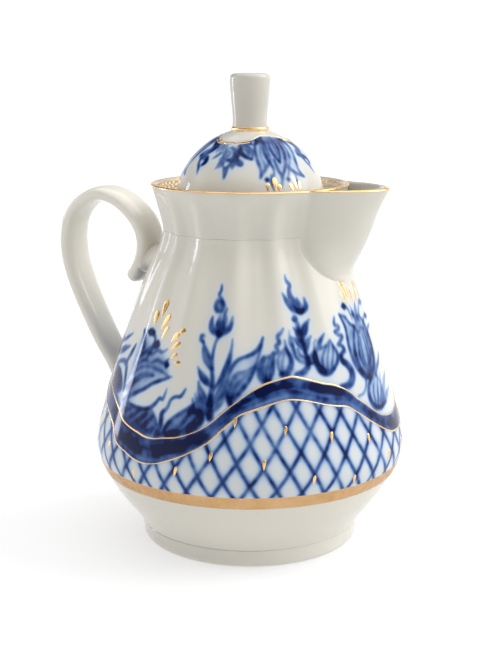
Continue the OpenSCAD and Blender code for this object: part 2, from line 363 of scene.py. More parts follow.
def paint_lattice(p):
    """Crossed blue lines between the gold band and the ribbon."""
    angle = np.arange(p.n) * p.step - 180
    low = ribbon(RIBBON_LOW, angle)
    z, k = p.rows[:, None], p.k[:, None]
    mask = np.clip((low + 0.5 - z) / 0.8, 0, 1) * np.clip((z - BAND[1] + 0.6) / 0.6, 0, 1)
    # Degrees between lines, and mm that a line rises in a degree
    for gap, slope in ((8.0, -2.0), (10.0, 1.6)):
        wave = 0.35 * np.sin(np.radians(7 * angle)) * np.sin(z / 9)
        off = angle + wave - (z - LATTICE_Z) / slope
        off = (off + gap / 2) % gap - gap / 2
        dist = np.abs(off * k) * abs(slope) / np.hypot(abs(slope), k)
        line = 0.78 * np.exp(-((dist / 0.66) ** 2)) + 0.09 * np.exp(-((dist / 1.9) ** 2))
        p.d = 1 - (1 - p.d) * (1 - line * mask)


def paint_ribbon(p):
    """The dark ribbon, with streaks along it and a bright line under its crests."""
    angle = np.arange(p.n) * p.step - 180
    low, top = ribbon(RIBBON_LOW, angle), ribbon(RIBBON_TOP, angle)
    z = p.rows[:, None]
    s = (z - low) / (top - low)
    mask = np.clip((z - low) / 0.5, 0, 1) * np.clip((top - z) / 0.5, 0, 1)
    a = np.radians(angle)
    crest = np.clip((top - 62) / 16, 0, 1)
    streak = np.sin(21 * s + 1.6 * np.sin(5 * a) + 1.1 * np.sin(11 * a + 2))
    streak += 0.7 * np.sin(37 * s - 2.2 * np.sin(7 * a + 1))
    ink = 0.68 + 0.08 * streak
    ink += 0.42 * crest * np.exp(-(((s - 0.76) / 0.2) ** 2))
    ink += 0.36 * (1 - crest) * np.exp(-(((s - 0.5) / 0.3) ** 2))
    ink -= 0.2 * np.exp(-(((s - 0.16) / 0.13) ** 2)) * (0.6 + 0.4 * np.sin(9 * a))
    ink -= 0.16 * crest * np.exp(-(((s - 0.42) / 0.1) ** 2)) * (0.5 + 0.5 * np.sin(13 * a + 1))
    p.d = np.where(mask > 0, 1 - (1 - p.d) * (1 - np.clip(ink, 0.2, 0.97) * mask), p.d)


def sprig_low(p):
    """Upright sprig with a curled tip."""
    p.stroke(0.85, (-14.8, 66.5, 2.6), (-15.3, 72, 2.4), (-14.9, 78, 1.8), (-15.6, 84, 1.3))
    p.stroke(0.7, (-15.6, 84, 1.3), (-15.9, 89, 1.0), (-15.2, 93.5, 1.0), (-13.4, 96.6, 1.4))
    p.leaf((-15.8, 83.5), (-20.9, 94), 2.9, 0.5, 0.85, 0.8)
    p.stroke(0.65, (-20.9, 93.3, 1), (-22.1, 94.2, 1.4), (-21.9, 95.8, 1.5), (-20.8, 95.6, 0.8))
    p.leaf((-14.3, 76.5), (-7.6, 95.2), 1.9, -1.6, 0.8, 0.9)
    p.leaf((-15.2, 77.5), (-21.9, 84.3), 2.4, 0.5, 0.82, 0.8)
    p.leaf((-14.4, 71), (-10, 82), 2.6, -0.9, 0.8, 0.7)
    p.leaf((-15.5, 70), (-20.8, 79), 2.8, 0.8, 0.85, 0.7)
    p.leaf((-15.6, 67), (-21.6, 74.5), 2.2, 0.7, 0.75, 0.8)
    p.leaf((-14.2, 68), (-9.8, 77.5), 2.0, -0.8, 0.7, 0.8)
    p.stroke(0.7, (-15, 66, 2.4), (-15.4, 70, 3), (-14.8, 74, 1.6))
    p.stroke(0.85, (-14.4, 96.4, 1.6), (-17.2, 98, 2.4), (-18.2, 100, 1.9), (-18, 102.6, 0.6), core=0.9)
    p.stroke(0.85, (-14, 96.4, 1.8), (-12.8, 99.4, 2.6), (-11.8, 102, 2.2), (-11.9, 104, 1.3),
             (-11, 106, 0.6), core=0.88)
    p.stroke(0.8, (-13.4, 96.4, 1.4), (-10.2, 98.4, 2.2), (-8.6, 100.6, 1.6), (-8, 103.2, 0.5), core=0.9)
    p.stroke(0.78, (-14.2, 97, 1.8), (-14.8, 100, 2.0), (-14.2, 103, 0.8), core=0.9)
    p.stroke(0.82, (-14.2, 104.8, 1.4), (-16.2, 105.4, 2.0), (-16.9, 107, 1.9), (-15.8, 108.6, 1.8),
             (-14, 108.2, 1.0))
    p.dot(-14.7, 106.8, 1.0, 0.9, 0.62)
    p.stroke(0.82, (-13.2, 105.6, 1.4), (-13.1, 107.4, 1.9), (-14.6, 109.4, 1.4), (-15.8, 110.9, 1.1),
             (-14.9, 112.4, 1.0), (-15.1, 114.4, 0.5))


def big_leaf(p):
    """Broad leaf that opens to the right."""
    edge = [(-7.3, 71), (-8.9, 74.5), (-9.3, 78.5), (-8.5, 82.8), (-6.8, 86.2), (-4, 88.4), (-1, 89.3)]
    edge += [(1.6, 90.2), (3.6, 91.7), (5.5, 95.3), (5, 91.8), (3.9, 88.6), (2.6, 84.8), (0, 79.6)]
    edge += [(-3.4, 75.2)]
    p.shape(edge, 0.72, 0.10, 0.9)
    p.stroke(0.72, (-7.4, 71, 1.7), (-9.1, 75, 1.5), (-9.2, 79.5, 1.3), (-8, 84, 1.1), (-5.2, 87.8, 1.0),
             (-1, 89.2, 0.8))
    p.stroke(0.75, (-1, 89.2, 0.9), (2, 90.5, 1.4), (4.2, 92.3, 1.7), (5.7, 95.6, 0.8))
    inner = [(-8, 73.5), (-8.4, 78), (-7.3, 81.5), (-5, 83.3), (-2, 84), (2.4, 85.6), (1.2, 82)]
    inner += [(-1.5, 78), (-5, 74.5)]
    p.shape(inner, 0.66, 0.34, 1.0)
    p.stroke(0.5, (-7.4, 73, 1.2), (-5.6, 78, 1.2), (-2, 81.5, 0.9), (1.2, 84, 0.6))
    p.stroke(0.5, (-7.6, 72, 1.6), (-4.6, 75.6, 1.3), (-1.6, 79, 0.9), (1, 83, 0.5))
    p.stroke(0.45, (-8.2, 76, 1.1), (-7, 79.8, 1.0), (-4.6, 82.4, 0.6))


def buds(p):
    """Two buds, the left one with a curled tip."""
    p.shape([(6.2, 78.8), (4.1, 81.5), (3.6, 85), (5, 88.2), (8, 89.3), (10.4, 90.6), (10.2, 86), (9.4, 82),
             (7.8, 79.4)], 0.75, 0.22, 1.1)
    p.stroke(0.75, (5.8, 88.5, 1.4), (4.3, 85, 2.8), (4.7, 81.5, 3.2), (6.8, 79.2, 2.2))
    p.stroke(0.6, (6.8, 80, 1.2), (6.6, 84, 0.9), (8.2, 88.2, 0.6))
    p.stroke(0.55, (8, 80.5, 1.1), (8.2, 84.5, 0.8), (9.6, 88.6, 0.6))
    p.stroke(0.75, (10.2, 89.6, 1.5), (11.9, 90.6, 1.3), (11.2, 92.4, 1.4), (12.6, 93.8, 1.5),
             (12.1, 95.8, 1.4), (13.6, 97.2, 1.3), (14.9, 98.6, 0.7))
    p.shape([(13.2, 81.4), (11.3, 84.5), (11.2, 88), (13.2, 90.6), (15.2, 91.6), (17, 89), (17.1, 85.4),
             (15.6, 82.4)], 0.65, 0.10, 0.9)
    p.stroke(0.75, (12.8, 82.2, 2.2), (15.2, 82.6, 2.7), (17, 85.3, 2.3), (17.1, 88.4, 1.8),
             (15.4, 91.6, 1.0))
    p.stroke(0.5, (13.2, 83.5, 1.4), (13.3, 86.5, 1.0), (14.5, 89.8, 0.6))
    p.stroke(0.6, (15.5, 91.2, 1.2), (15.2, 94.4, 0.6))
    p.leaf((19.6, 89.5), (17.7, 97.8), 1.6, 0.6, 0.6)


def sprig_high(p):
    """Tall sprig with a flame at its tip."""
    p.stroke(0.82, (18.6, 81.8, 1.5), (22, 82.2, 2.4), (24.4, 84.2, 2.2), (25, 87.4, 1.6))
    p.stroke(0.75, (24.7, 85.6, 2.0), (24.3, 90, 1.6), (23.6, 95, 1.5), (22.8, 99.6, 1.1),
             (21.8, 101.6, 0.8))
    p.stroke(0.7, (18.6, 92.6, 0.8), (19.2, 89, 1.3), (21, 86.6, 1.2), (23.9, 85.6, 1.4))
    p.stroke(0.65, (20.8, 90.8, 0.7), (21.6, 88.6, 1.2), (23.8, 87.4, 1.2))
    p.stroke(0.7, (25.2, 85.6, 1.4), (27.2, 85.4, 1.4), (28.2, 87.6, 1.2), (28.8, 90.6, 0.7))
    p.leaf((24.3, 86), (28.6, 90), 1.6, -0.6, 0.6)
    p.leaf((24.1, 89.4), (18.2, 95.4), 2.2, -0.9, 0.68)
    p.leaf((24.3, 89), (28.3, 95), 2.3, 0.8, 0.72)
    p.leaf((23.8, 92.6), (20.1, 98.6), 2.5, -0.5, 0.78)
    p.leaf((24, 94), (29, 101.2), 2.6, 0.7, 0.82)
    p.leaf((23.6, 94.6), (21.6, 99.6), 1.8, 0, 0.7)
    p.dot(21.3, 101.8, 1.7, 1.3, 0.85)
    p.stroke(0.8, (25.2, 104, 1.6), (21.6, 105.6, 2.7), (18.6, 108.2, 1.9), (16.4, 111.4, 0.6), core=0.86)
    p.stroke(0.78, (25, 104, 1.5), (27.6, 105, 2.2), (28.6, 106.8, 1.7), (28.4, 109, 0.5), core=0.88)
    p.stroke(0.78, (24.6, 104.4, 1.8), (22.9, 107.4, 2.4), (20.9, 109.8, 2.3), (20.6, 112.2, 1.7),
             (21.4, 114.2, 1.4), (19.6, 116, 1.2), (19.5, 117.9, 0.5), core=0.86)
    p.stroke(0.66, (25.4, 104.2, 1.5), (25.4, 106.4, 1.8), (24.4, 109, 0.6), core=0.9)
    p.stroke(0.62, (22.6, 105, 1.1), (25.2, 104, 1.6), (27, 105, 1.1))


def onion(p):
    """Round striped bud."""
    p.shape([(31.5, 80.8), (28.9, 83.6), (28.4, 87), (29.3, 90), (32, 90.6), (35, 91.6), (37.4, 93.2),
             (38.8, 90), (40.1, 87.4), (39.2, 84.2), (36, 81.6)], 0.6, 0.10, 0.9)
    p.stroke(0.82, (28.7, 88.8, 1.2), (28.9, 85, 2.4), (30.6, 82, 3.2), (33.6, 81.2, 2.4),
             (36.6, 82.2, 1.3))
    p.stroke(0.55, (31.4, 83, 1.3), (31.9, 86.8, 1.0), (34.6, 90.8, 0.6))
    p.stroke(0.55, (33.4, 82.8, 1.2), (34.3, 86.6, 0.9), (36.6, 91.8, 0.6))
    p.stroke(0.6, (35.6, 83.2, 1.3), (37, 86.6, 1.0), (38.2, 90, 0.7))
    p.stroke(0.6, (37, 82.6, 1.2), (39.4, 85, 1.3), (39.8, 88, 1.2), (38.2, 91, 0.8))
    p.stroke(0.7, (31.2, 91, 1.8), (32.2, 93, 1.6), (34.8, 95.4, 0.7))
    p.stroke(0.4, (30, 90.2, 1.0), (29, 92, 0.8), (30.2, 93.6, 0.5))


def tendril(p):
    """Thick stalk that ends in curls."""
    p.stroke(0.9, (38.6, 75.2, 1.6), (42, 74.9, 2.6), (44.8, 76.2, 3.2), (46, 79, 3.2), (44.6, 82.2, 2.8),
             (42, 84.4, 2.3), (41.3, 86.4, 1.6))
    p.stroke(0.75, (41.4, 86, 1.6), (43, 87.4, 1.7), (44.3, 88, 1.7), (43.4, 89.8, 1.3), (41.2, 90.4, 0.9))
    p.stroke(0.7, (41.2, 90.8, 0.9), (43.2, 91.8, 1.4), (44.9, 93.4, 1.5), (42.4, 94.2, 1.2),
             (41.2, 95.4, 1.1))
    p.stroke(0.72, (41.2, 95.4, 1.1), (43.4, 96, 1.5), (44.2, 97.2, 1.3), (41.9, 98.2, 1.4),
             (42.9, 100.8, 0.6))


def tulip(p):
    """Striped tulip under the beak, with a bud and leaves at its foot."""
    p.wash([(55, 76), (50, 81), (49, 88), (50, 95), (54, 96), (59, 98), (64, 96), (66.5, 90), (67, 83),
            (63, 77)], 0.2)
    p.shape([(55, 76), (50.8, 79.6), (48.2, 85), (47.9, 91), (48.4, 96), (46.6, 101.2), (50, 100),
             (53, 97.4), (56, 96), (60, 99.6), (63.5, 98), (66, 96), (67.2, 89), (66, 82), (61.5, 76.6)],
             0.3, 0.10, 1.2)
    p.stroke(0.78, (54.4, 76.2, 1.8), (50.2, 80, 1.9), (48, 85.2, 1.6), (47.9, 91, 1.2), (48.6, 96, 1.2),
             (46.6, 101.4, 0.7))
    p.stroke(0.68, (47.4, 101, 0.8), (50.4, 99.8, 1.3), (52.4, 97.2, 1.2), (55.6, 95.6, 0.9))
    p.stroke(0.85, (59, 76, 3.2), (54, 77, 3.4), (51.4, 80.4, 2.8), (50.9, 85.4, 1.9), (52.2, 90.4, 1.4),
             (55.2, 95.8, 1.0))
    p.stroke(0.8, (57, 76.4, 3.0), (62.4, 78, 2.6), (65.6, 82.4, 2.0), (66.9, 88.4, 1.7), (66, 95, 1.4),
             (63, 99, 0.9))
    stripes = [((53.9, 84), (56.6, 92.4), 0.72), ((56, 83.4), (57.6, 91), 0.6)]
    stripes += [((60.4, 83.4), (60.6, 91.4), 0.62), ((62.4, 83.8), (63, 93), 0.7)]
    stripes += [((64.4, 85), (64.8, 94), 0.55)]
    for mid, top, ink in stripes:
        p.stroke(ink, (57.6, 77.4, 2.2), (*mid, 1.5), (*top, 0.7))
    p.stroke(0.5, (54.6, 96, 0.9), (57.6, 93, 1.0), (60.8, 94.4, 0.9), (63.8, 93.4, 0.8))
    for a, z, w in ((57.4, 100, 1.5), (60.6, 98.4, 1.2), (51.6, 103.9, 2.0)):
        p.dot(a, z, w, 1.3, 0.85)
    p.stroke(0.65, (52, 104.2, 1.4), (54.6, 102.4, 1.0), (55.4, 98.6, 0.7))
    p.leaf((60, 97), (63.6, 104.6), 2.0, 0.5, 0.6)
    p.leaf((58.4, 97), (57.2, 103.4), 1.7, 0, 0.6)
    p.stroke(0.5, (61.6, 97, 1.2), (65.6, 101.8, 1.3), (69.6, 103.4, 1.0))
    p.stroke(0.5, (63.4, 93.6, 1.2), (67, 96.8, 1.3), (70.4, 97.8, 1.0))
    p.stroke(0.5, (64.6, 89.6, 1.2), (68.4, 92.8, 1.4), (73, 94, 0.7))
    p.dot(70, 103.2, 2.6, 1.2, 0.75)
    p.dot(71, 97.5, 2.4, 1.1, 0.75)
    p.stroke(0.75, (54.4, 76, 1.2), (53, 72.8, 1.0), (50.4, 70.4, 0.9), (47, 70, 0.6))
    # Bud below, at the foot of the flower
    p.shape([(58, 62.6), (54.6, 65), (53.7, 69), (55.4, 73), (59, 75.2), (63, 76), (66, 72), (66.4, 66),
             (63, 63)], 0.4, 0.14, 1.2)
    p.stroke(0.8, (67, 63.6, 1.0), (60, 62.8, 1.9), (55.6, 64.6, 2.4), (53.8, 68.6, 2.3), (55.2, 72.8, 1.6),
             (58.8, 75, 0.9))
    stripes = [((57.4, 65.6), (57.8, 70), (60.6, 74)), ((59.4, 65), (61.4, 69.4), (63.6, 74))]
    stripes += [((61.6, 64.8), (64.8, 69), (67.4, 74.6))]
    for foot, mid, top in stripes:
        p.stroke(0.5, (*foot, 1.5), (*mid, 1.2), (*top, 0.7))
    p.stroke(0.6, (62.4, 75, 1.4), (66, 77.6, 1.9), (69, 79, 1.5), (73.4, 82, 0.7))
    p.leaf((62, 63), (76, 74), 2.6, 1.2, 0.5)
    p.leaf((61, 62), (77, 67.4), 2.4, 0.8, 0.5)


def shaggy_flower(p):
    """Wide ragged flower that leans to the right, over the ribbon's low stretch."""
    p.wash([(-58, 64), (-57, 88), (-54, 92), (-49, 89), (-44, 87), (-40, 86), (-37, 82), (-36, 80),
            (-41, 78.4), (-47, 75), (-53, 69)], 0.34, 2.4)
    p.stroke(0.82, (-59, 66, 1.6), (-54, 69, 1.7), (-47, 72.6, 1.5), (-42, 75.8, 1.3), (-38, 77.6, 1.3),
             (-32.8, 79.6, 0.6))
    p.stroke(0.8, (-58, 71, 2.2), (-53, 75, 2.6), (-48, 78, 2.4), (-42.6, 78.6, 0.8))
    p.stroke(0.7, (-56, 77.6, 1.2), (-50, 80.8, 1.3), (-45, 81.6, 1.3), (-40, 81, 1.2), (-34.4, 79.4, 0.7))
    p.stroke(0.68, (-55, 80.6, 1.5), (-50, 83.4, 1.5), (-46, 83, 1.3), (-42.6, 84.4, 1.4), (-39, 84, 1.1),
             (-36.2, 85.8, 0.7))
    p.stroke(0.68, (-54, 84, 1.3), (-50, 86.6, 1.5), (-46.4, 86.2, 1.3), (-43.4, 88, 1.4), (-41, 87.6, 1.1),
             (-38.2, 89, 0.7))
    p.stroke(0.75, (-56, 94, 1.4), (-53.4, 90.4, 2.0), (-52.4, 86.4, 1.8), (-54.4, 82, 1.8), (-55, 77, 1.4))
    p.stroke(0.65, (-49.6, 93.6, 1.2), (-47, 92.4, 1.2), (-47.2, 89.4, 1.2), (-50.4, 87, 0.9))
    p.stroke(0.6, (-45.4, 90, 1.6), (-47.6, 87.4, 1.2), (-49, 84.4, 0.8))
    for a, z, w, t in ((-50.4, 94.2, 2.6, 1.4), (-45, 90, 1.9, 1.8), (-36.9, 83.6, 1.5, 1.4)):
        p.dot(a, z, w, t, 0.93)
    p.stroke(0.7, (-56, 73, 1.8), (-55, 66, 1.6), (-54.4, 59, 1.8))
    # Dark foot of the flower
    p.shape([(-58, 57.4), (-58, 66), (-52, 66), (-46, 65.4), (-41, 66.6), (-37.6, 64), (-35.6, 60),
             (-34.6, 56.4), (-43, 56.2)], 0.52, 0.42, 1.5)
    blades = [(-57, 58, -46, 65, 2.4), (-52, 57.4, -42, 64.6, 2.8), (-47, 57, -39, 63.8, 2.6)]
    blades += [(-43, 56.6, -36.6, 61, 2.4), (-57, 63, -50, 65.4, 1.6)]
    for a, z, b, y, w in blades:
        p.stroke(0.6, (a, z, w), ((a + b) / 2 + 0.6, (z + y) / 2 - 0.6, w), (b, y, 0.8))
    p.stroke(0.75, (-55, 65.8, 1.2), (-48, 65.4, 1.2), (-42.4, 66, 1.5), (-39, 68.4, 1.5),
             (-37.2, 70.7, 1.3), (-35.4, 71, 1.2), (-34.3, 74.8, 0.6))
    p.stroke(0.8, (-35.8, 57, 2.6), (-34.8, 61.4, 2.2), (-34.8, 65.6, 1.8), (-32.8, 68, 1.3),
             (-31.8, 71, 1.1), (-30, 72.4, 1.1), (-27.5, 73, 1.2), (-25.8, 75.8, 0.6))
    # Leaves lying to the right along the ribbon
    p.shape([(-33.6, 57.4), (-32.4, 61.6), (-29, 65.4), (-25, 68), (-21.6, 70.6), (-20, 66), (-22, 61.6),
             (-27, 58.6)], 0.5, 0.42, 1.2)
    p.stroke(0.75, (-33.6, 58, 2.0), (-31, 63, 1.5), (-27, 66.6, 1.3), (-21.4, 70.8, 0.7))
    p.stroke(0.7, (-31.6, 57.8, 2.0), (-27.4, 60.8, 1.8), (-24, 65.6, 1.5), (-21.8, 69.4, 0.7))
    p.stroke(0.7, (-29.4, 58, 1.9), (-25, 60.2, 1.9), (-21.8, 63.4, 1.6), (-20.2, 65.6, 1.0))
    p.stroke(0.85, (-23, 67.8, 1.6), (-20.4, 68.2, 2.8), (-18.5, 66.6, 3.2), (-18.9, 64, 2.8),
             (-21.4, 61.6, 2.6), (-25.6, 59.6, 2.4), (-31, 57.9, 2.2))
    p.stroke(0.6, (-22.4, 72.4, 1.0), (-21, 68.6, 1.4))


def far_flower(p):
    """Flower at the left edge of the photograph's view."""
    p.shape([(-76, 69), (-76.4, 76), (-70, 76.6), (-65, 74), (-62, 70), (-66, 67)], 0.8, 0.85, 1.5)
    p.stroke(0.65, (-80, 85.6, 1.2), (-74, 87.4, 1.7), (-67.4, 90.8, 0.8))
    p.stroke(0.6, (-79, 81, 2.4), (-72, 83.6, 2.8), (-66, 86, 1.0))
    p.stroke(0.75, (-76, 77, 1.6), (-70, 79.4, 1.6), (-64.4, 79.4, 2.2), (-62, 75.6, 2.0), (-60.4, 70, 1.6))
    p.stroke(0.75, (-65, 79, 1.6), (-62.4, 83.6, 2.4), (-60.4, 87.6, 1.0))
    p.stroke(0.7, (-74, 67.2, 1.6), (-66, 66, 2.0), (-60.4, 63.4, 1.6))
    p.stroke(0.6, (-81, 74, 1.4), (-79, 79, 1.7), (-81, 84, 0.8))
    p.leaf((-79, 70), (-84, 79), 2.4, 0.6, 0.7)


def crest(p):
    """All that grows on one crest of the ribbon."""
    sprig_low(p)
    big_leaf(p)
    buds(p)
    sprig_high(p)
    onion(p)
    tendril(p)


paint_rows = np.arange(PAINT_Z[0], PAINT_Z[1] + 0.01, PAINT_STEP)
pot_paint = Paint(COLS, paint_rows, radius(paint_rows))
paint_lattice(pot_paint)
crest(pot_paint)
tulip(pot_paint)
shaggy_flower(pot_paint)
far_flower(pot_paint)
# The back repeats the front's flowers, on the ribbon's other crests and in its other hollow
for turn in (112.0, 235.0):
    pot_paint.turn = turn
    crest(pot_paint)
pot_paint.turn = 230.0
shaggy_flower(pot_paint)
far_flower(pot_paint)
pot_paint.turn = 0.0
paint_ribbon(pot_paint)
pot_ink = pot_paint.fired(PAINT_STEP)


# ---------------------------------------------------------------- materials
def node_material(name):
    """A material with a plain shader, its node tree and the shader."""
    mat = bpy.data.materials.new(name)
    mat.use_nodes = True
    nt = mat.node_tree
    nt.nodes.clear()
    out = nt.nodes.new("ShaderNodeOutputMaterial")
    bsdf = nt.nodes.new("ShaderNodeBsdfPrincipled")
    nt.links.new(bsdf.outputs[0], out.inputs[0])
    return mat, nt, bsdf


def noise(nt, scale, detail):
    coord = nt.nodes.new("ShaderNodeTexCoord")
    n = nt.nodes.new("ShaderNodeTexNoise")
    n.inputs["Scale"].default_value = scale
    n.inputs["Detail"].default_value = detail
    n.inputs["Roughness"].default_value = 0.55
    nt.links.new(coord.outputs["Object"], n.inputs["Vector"])
    return n.outputs["Fac"]


def ramp(nt, source, stops):
    """Colours along the source, from (place, colour) stops."""
    r = nt.nodes.new("ShaderNodeValToRGB")
    while len(r.color_ramp.elements) < len(stops):
        r.color_ramp.elements.new(0.5)
    for e, (pos, col) in zip(r.color_ramp.elements, stops, strict=True):
        e.position = pos
        e.color = (*col, 1)
    nt.links.new(source, r.inputs["Fac"])
    return r.outputs["Color"]


def remap(nt, source, lo, hi, a=0.3, b=0.7):
    """The source from a to b becomes lo to hi."""
    m = nt.nodes.new("ShaderNodeMapRange")
    m.inputs["From Min"].default_value = a
    m.inputs["From Max"].default_value = b
    m.inputs["To Min"].default_value = lo
    m.inputs["To Max"].default_value = hi
    nt.links.new(source, m.inputs["Value"])
    return m.outputs["Result"]


def maths(nt, op, a, b):
    m = nt.nodes.new("ShaderNodeMath")
    m.operation = op
    for socket, value in zip(m.inputs, (a, b), strict=False):
        if isinstance(value, (int, float)):
            socket.default_value = value
        else:
            nt.links.new(value, socket)
    return m.outputs[0]


def bump(nt, bsdf, source, strength, distance):
    b = nt.nodes.new("ShaderNodeBump")
    b.inputs["Strength"].default_value = strength
    b.inputs["Distance"].default_value = distance
    nt.links.new(source, b.inputs["Height"])
    nt.links.new(b.outputs["Normal"], bsdf.inputs["Normal"])


GLAZE = (0.63, 0.606, 0.540)
# From bare glaze through pale washes to the darkest cobalt
COBALT = [(0.10, (0.52, 0.57, 0.62)), (0.24, (0.30, 0.40, 0.56)), (0.42, (0.136, 0.222, 0.40))]
COBALT += [(0.60, (0.052, 0.108, 0.275)), (0.78, (0.016, 0.046, 0.18)), (0.95, (0.003, 0.007, 0.045))]


def porcelain(name, painted=False, rough=0.09, painted_light_scale=1.0):
    """Glossy glaze, with ink from the mesh where it is painted. The shade factor scales its colour: painted
    light above 1 and painted shade below 1.
    """
    mat, nt, bsdf = node_material(name)
    base = tuple(painted_light_scale * c for c in GLAZE)
    if painted:
        attr = nt.nodes.new("ShaderNodeAttribute")
        attr.attribute_name = "ink"
        wash = remap(nt, noise(nt, 260, 4), 0.93, 1.21)
        pool = remap(nt, noise(nt, 60, 2), 0.9, 1.1)
        ink = maths(nt, "MULTIPLY", maths(nt, "MULTIPLY", attr.outputs["Fac"], wash), pool)
        colour = ramp(nt, ink, [(0.0, base), *COBALT])
    else:
        tone = noise(nt, 45, 3)
        dark = tuple(0.955 * c for c in base)
        colour = ramp(nt, tone, [(0.35, dark), (0.65, base)])
    nt.links.new(colour, bsdf.inputs["Base Color"])
    ripple = noise(nt, 190, 2)
    nt.links.new(remap(nt, noise(nt, 80, 2), rough * 0.85, rough * 1.2), bsdf.inputs["Roughness"])
    bump(nt, bsdf, ripple, 0.035, 0.0006)
    bsdf.inputs["Specular IOR Level"].default_value = 0.17 if painted else 0.34
    return mat


def gold(name, colour, worn):
    """Burnished gold, browner where it is thin and paler where it is thick. Worn makes it duller."""
    mat, nt, bsdf = node_material(name)
    red, green, blue = colour
    thin = (red * 0.90, green * 0.86, blue * 0.76)
    thick = (red * 1.05, green * 1.08, blue * 1.2)
    tone = ramp(nt, noise(nt, 140, 4), [(0.3, thin), (0.5, colour), (0.72, thick)])
    nt.links.new(tone, bsdf.inputs["Base Color"])
    bsdf.inputs["Metallic"].default_value = 1.0
    nt.links.new(remap(nt, noise(nt, 320, 3), 0.2, 0.2 + worn + 0.12), bsdf.inputs["Roughness"])
    bump(nt, bsdf, noise(nt, 600, 2), 0.08, 0.0002)
    return mat


PAINTED = porcelain("painted_glaze", painted=True)
WHITE = porcelain("white_glaze")
# Neck and beak: the white glaze made a little darker, as painted shade
NECK_GLAZE_PAINTED_SHADE = porcelain("neck_glaze_painted_shade", painted_light_scale=0.96)
# Handle: the white glaze made lighter, as painted light where the pot shades it
HANDLE_GLAZE_PAINTED_LIGHT = porcelain("handle_glaze_painted_light", painted_light_scale=1.13)
# Knob: the white glaze made darker, as painted shade
KNOB_GLAZE_PAINTED_SHADE = porcelain("knob_glaze_painted_shade", painted_light_scale=0.86)
INSIDE = porcelain("inner_glaze", rough=0.14)
GOLD = gold("fired_gold", (0.90, 0.585, 0.265), 0.05)
GOLD_BAND = gold("fired_gold_band", (0.575, 0.355, 0.172), 0.22)

# ---------------------------------------------------------------- belly and shoulder
angles = np.arange(COLS) * 360 / COLS - 180
low_z = np.array([8.0, 8.3, 8.8, 9.6, 10.8, 12.2, 14, 16, 18.4, 21, 24, 27])
z_out = np.r_[low_z, paint_rows]
outer = at(angles, wall(angles, z_out[:, None]), z_out[:, None])
seam = [(WAIST_R - 0.04, 130.98), (WAIST_R - 0.14, WAIST_Z), (WAIST_R - WALL, WAIST_Z)]
# Close rows only where the strainer holes are
inner_z = np.r_[np.arange(PAINT_Z[1], 117, -PAINT_STEP), [115, 110, 104, 97, 90], np.arange(82, 33, -8)]
inner_z = np.r_[inner_z, [27, 21, 16, 12.5]]


def inner_radius(z):
    """Inside of the wall, whose thickness is measured square to it."""
    slope = radius(z + 0.5) - radius(z - 0.5)
    return radius(z) - WALL * np.sqrt(1 + np.clip(slope, -3, 3) ** 2)


bottom = [(44.0, 10.2), (42.6, 8.6), (40.2, 7.7), (36, 7.5), (24, 7.5), (12, 7.5), (3, 7.5), (0.05, 7.5)]
rest = np.array(seam + [(float(inner_radius(z)), z) for z in inner_z] + bottom)
rest_r = rest[:, :1] + 0 * angles
rest_r[: len(seam)] -= flute(angles, np.full((len(seam), 1), 131.0))
inside = at(angles, rest_r, rest[:, 1:])
under = [(0.05, 3.5), (20, 3.5), (39.0, 3.5), (39.6, 4.0), (39.6, 8.0)]
body_pts = np.concatenate([rings(under, angles), outer, inside])
ink = np.zeros(body_pts.shape[:2])
first = len(under) + len(low_z)
fade = ease(paint_rows, BAND[1] - 0.6, BAND[1] + 0.1) * (1 - ease(paint_rows, 119.5, 123))
ink[first : first + len(paint_rows)] = pot_ink * fade[:, None]

# Strainer holes behind the beak: the two skins of the wall are cut, drawn to the circle and bridged
HOLES = ((-3.6, 120.5), (3.6, 120.5), (-7.2, 126.7), (0.0, 126.7), (7.2, 126.7))
HOLE_R = 2.2
quads = grid(len(body_pts), COLS, True)
flat = body_pts.reshape(-1, 3)
level, depth_y, ahead = flat[:, 2] / MM, flat[:, 1] / MM, flat[:, 0] / MM - AXIS_X / MM
tubes = []
gone = np.zeros(len(quads), bool)
for hole_y, hole_z in HOLES:
    off_y, off_z = depth_y - hole_y, level - hole_z
    inside_hole = (np.hypot(off_y, off_z) < HOLE_R) & (ahead > 0)
    cut = inside_hole[quads].any(1)
    rim_ids = np.unique(quads[cut])
    rim_ids = rim_ids[~inside_hole[rim_ids]]
    gone |= cut
    reach = np.hypot(off_y[rim_ids], off_z[rim_ids])
    new_y = hole_y + off_y[rim_ids] * HOLE_R / reach
    new_z = hole_z + off_z[rim_ids] * HOLE_R / reach
    r_here = np.hypot(ahead[rim_ids], depth_y[rim_ids])
    flat[rim_ids, 0] = AXIS_X + MM * np.sqrt(r_here**2 - new_y**2)
    flat[rim_ids, 1] = MM * new_y
    flat[rim_ids, 2] = MM * new_z
    t = np.radians(np.arange(0, 360, 7.5))
    ty, tz = hole_y + HOLE_R * np.cos(t), hole_z + HOLE_R * np.sin(t)
    ends = [np.sqrt(skin**2 - ty**2) for skin in (inner_radius(tz), radius(tz))]
    tube = np.array([np.stack([AXIS_X + MM * x, MM * ty, MM * tz], -1) for x in ends])
    tubes.append((tube, grid(2, len(t), True)))
quads = quads[~gone]
skin_points = len(flat)
flat, quads = join_parts([(flat, quads), *tubes])
ink = np.r_[ink.ravel(), np.zeros(len(flat) - skin_points)]
body = mesh_object("pot_wall", flat, quads, PAINTED, "pot", "painted_porcelain", {"ink": ink})
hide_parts("pot_body")

# ---------------------------------------------------------------- neck
neck_z = np.array([131.1, 131.22, 131.5, 132, 133, 134.5, 136, 138, 140, 142, 144, 145.6, 147, 148.2])
neck_z = np.r_[neck_z, [149.0, 149.4]]
neck_angles = np.arange(720) * 360 / 720 - 180
neck_r = wall(neck_angles, neck_z[:, None])
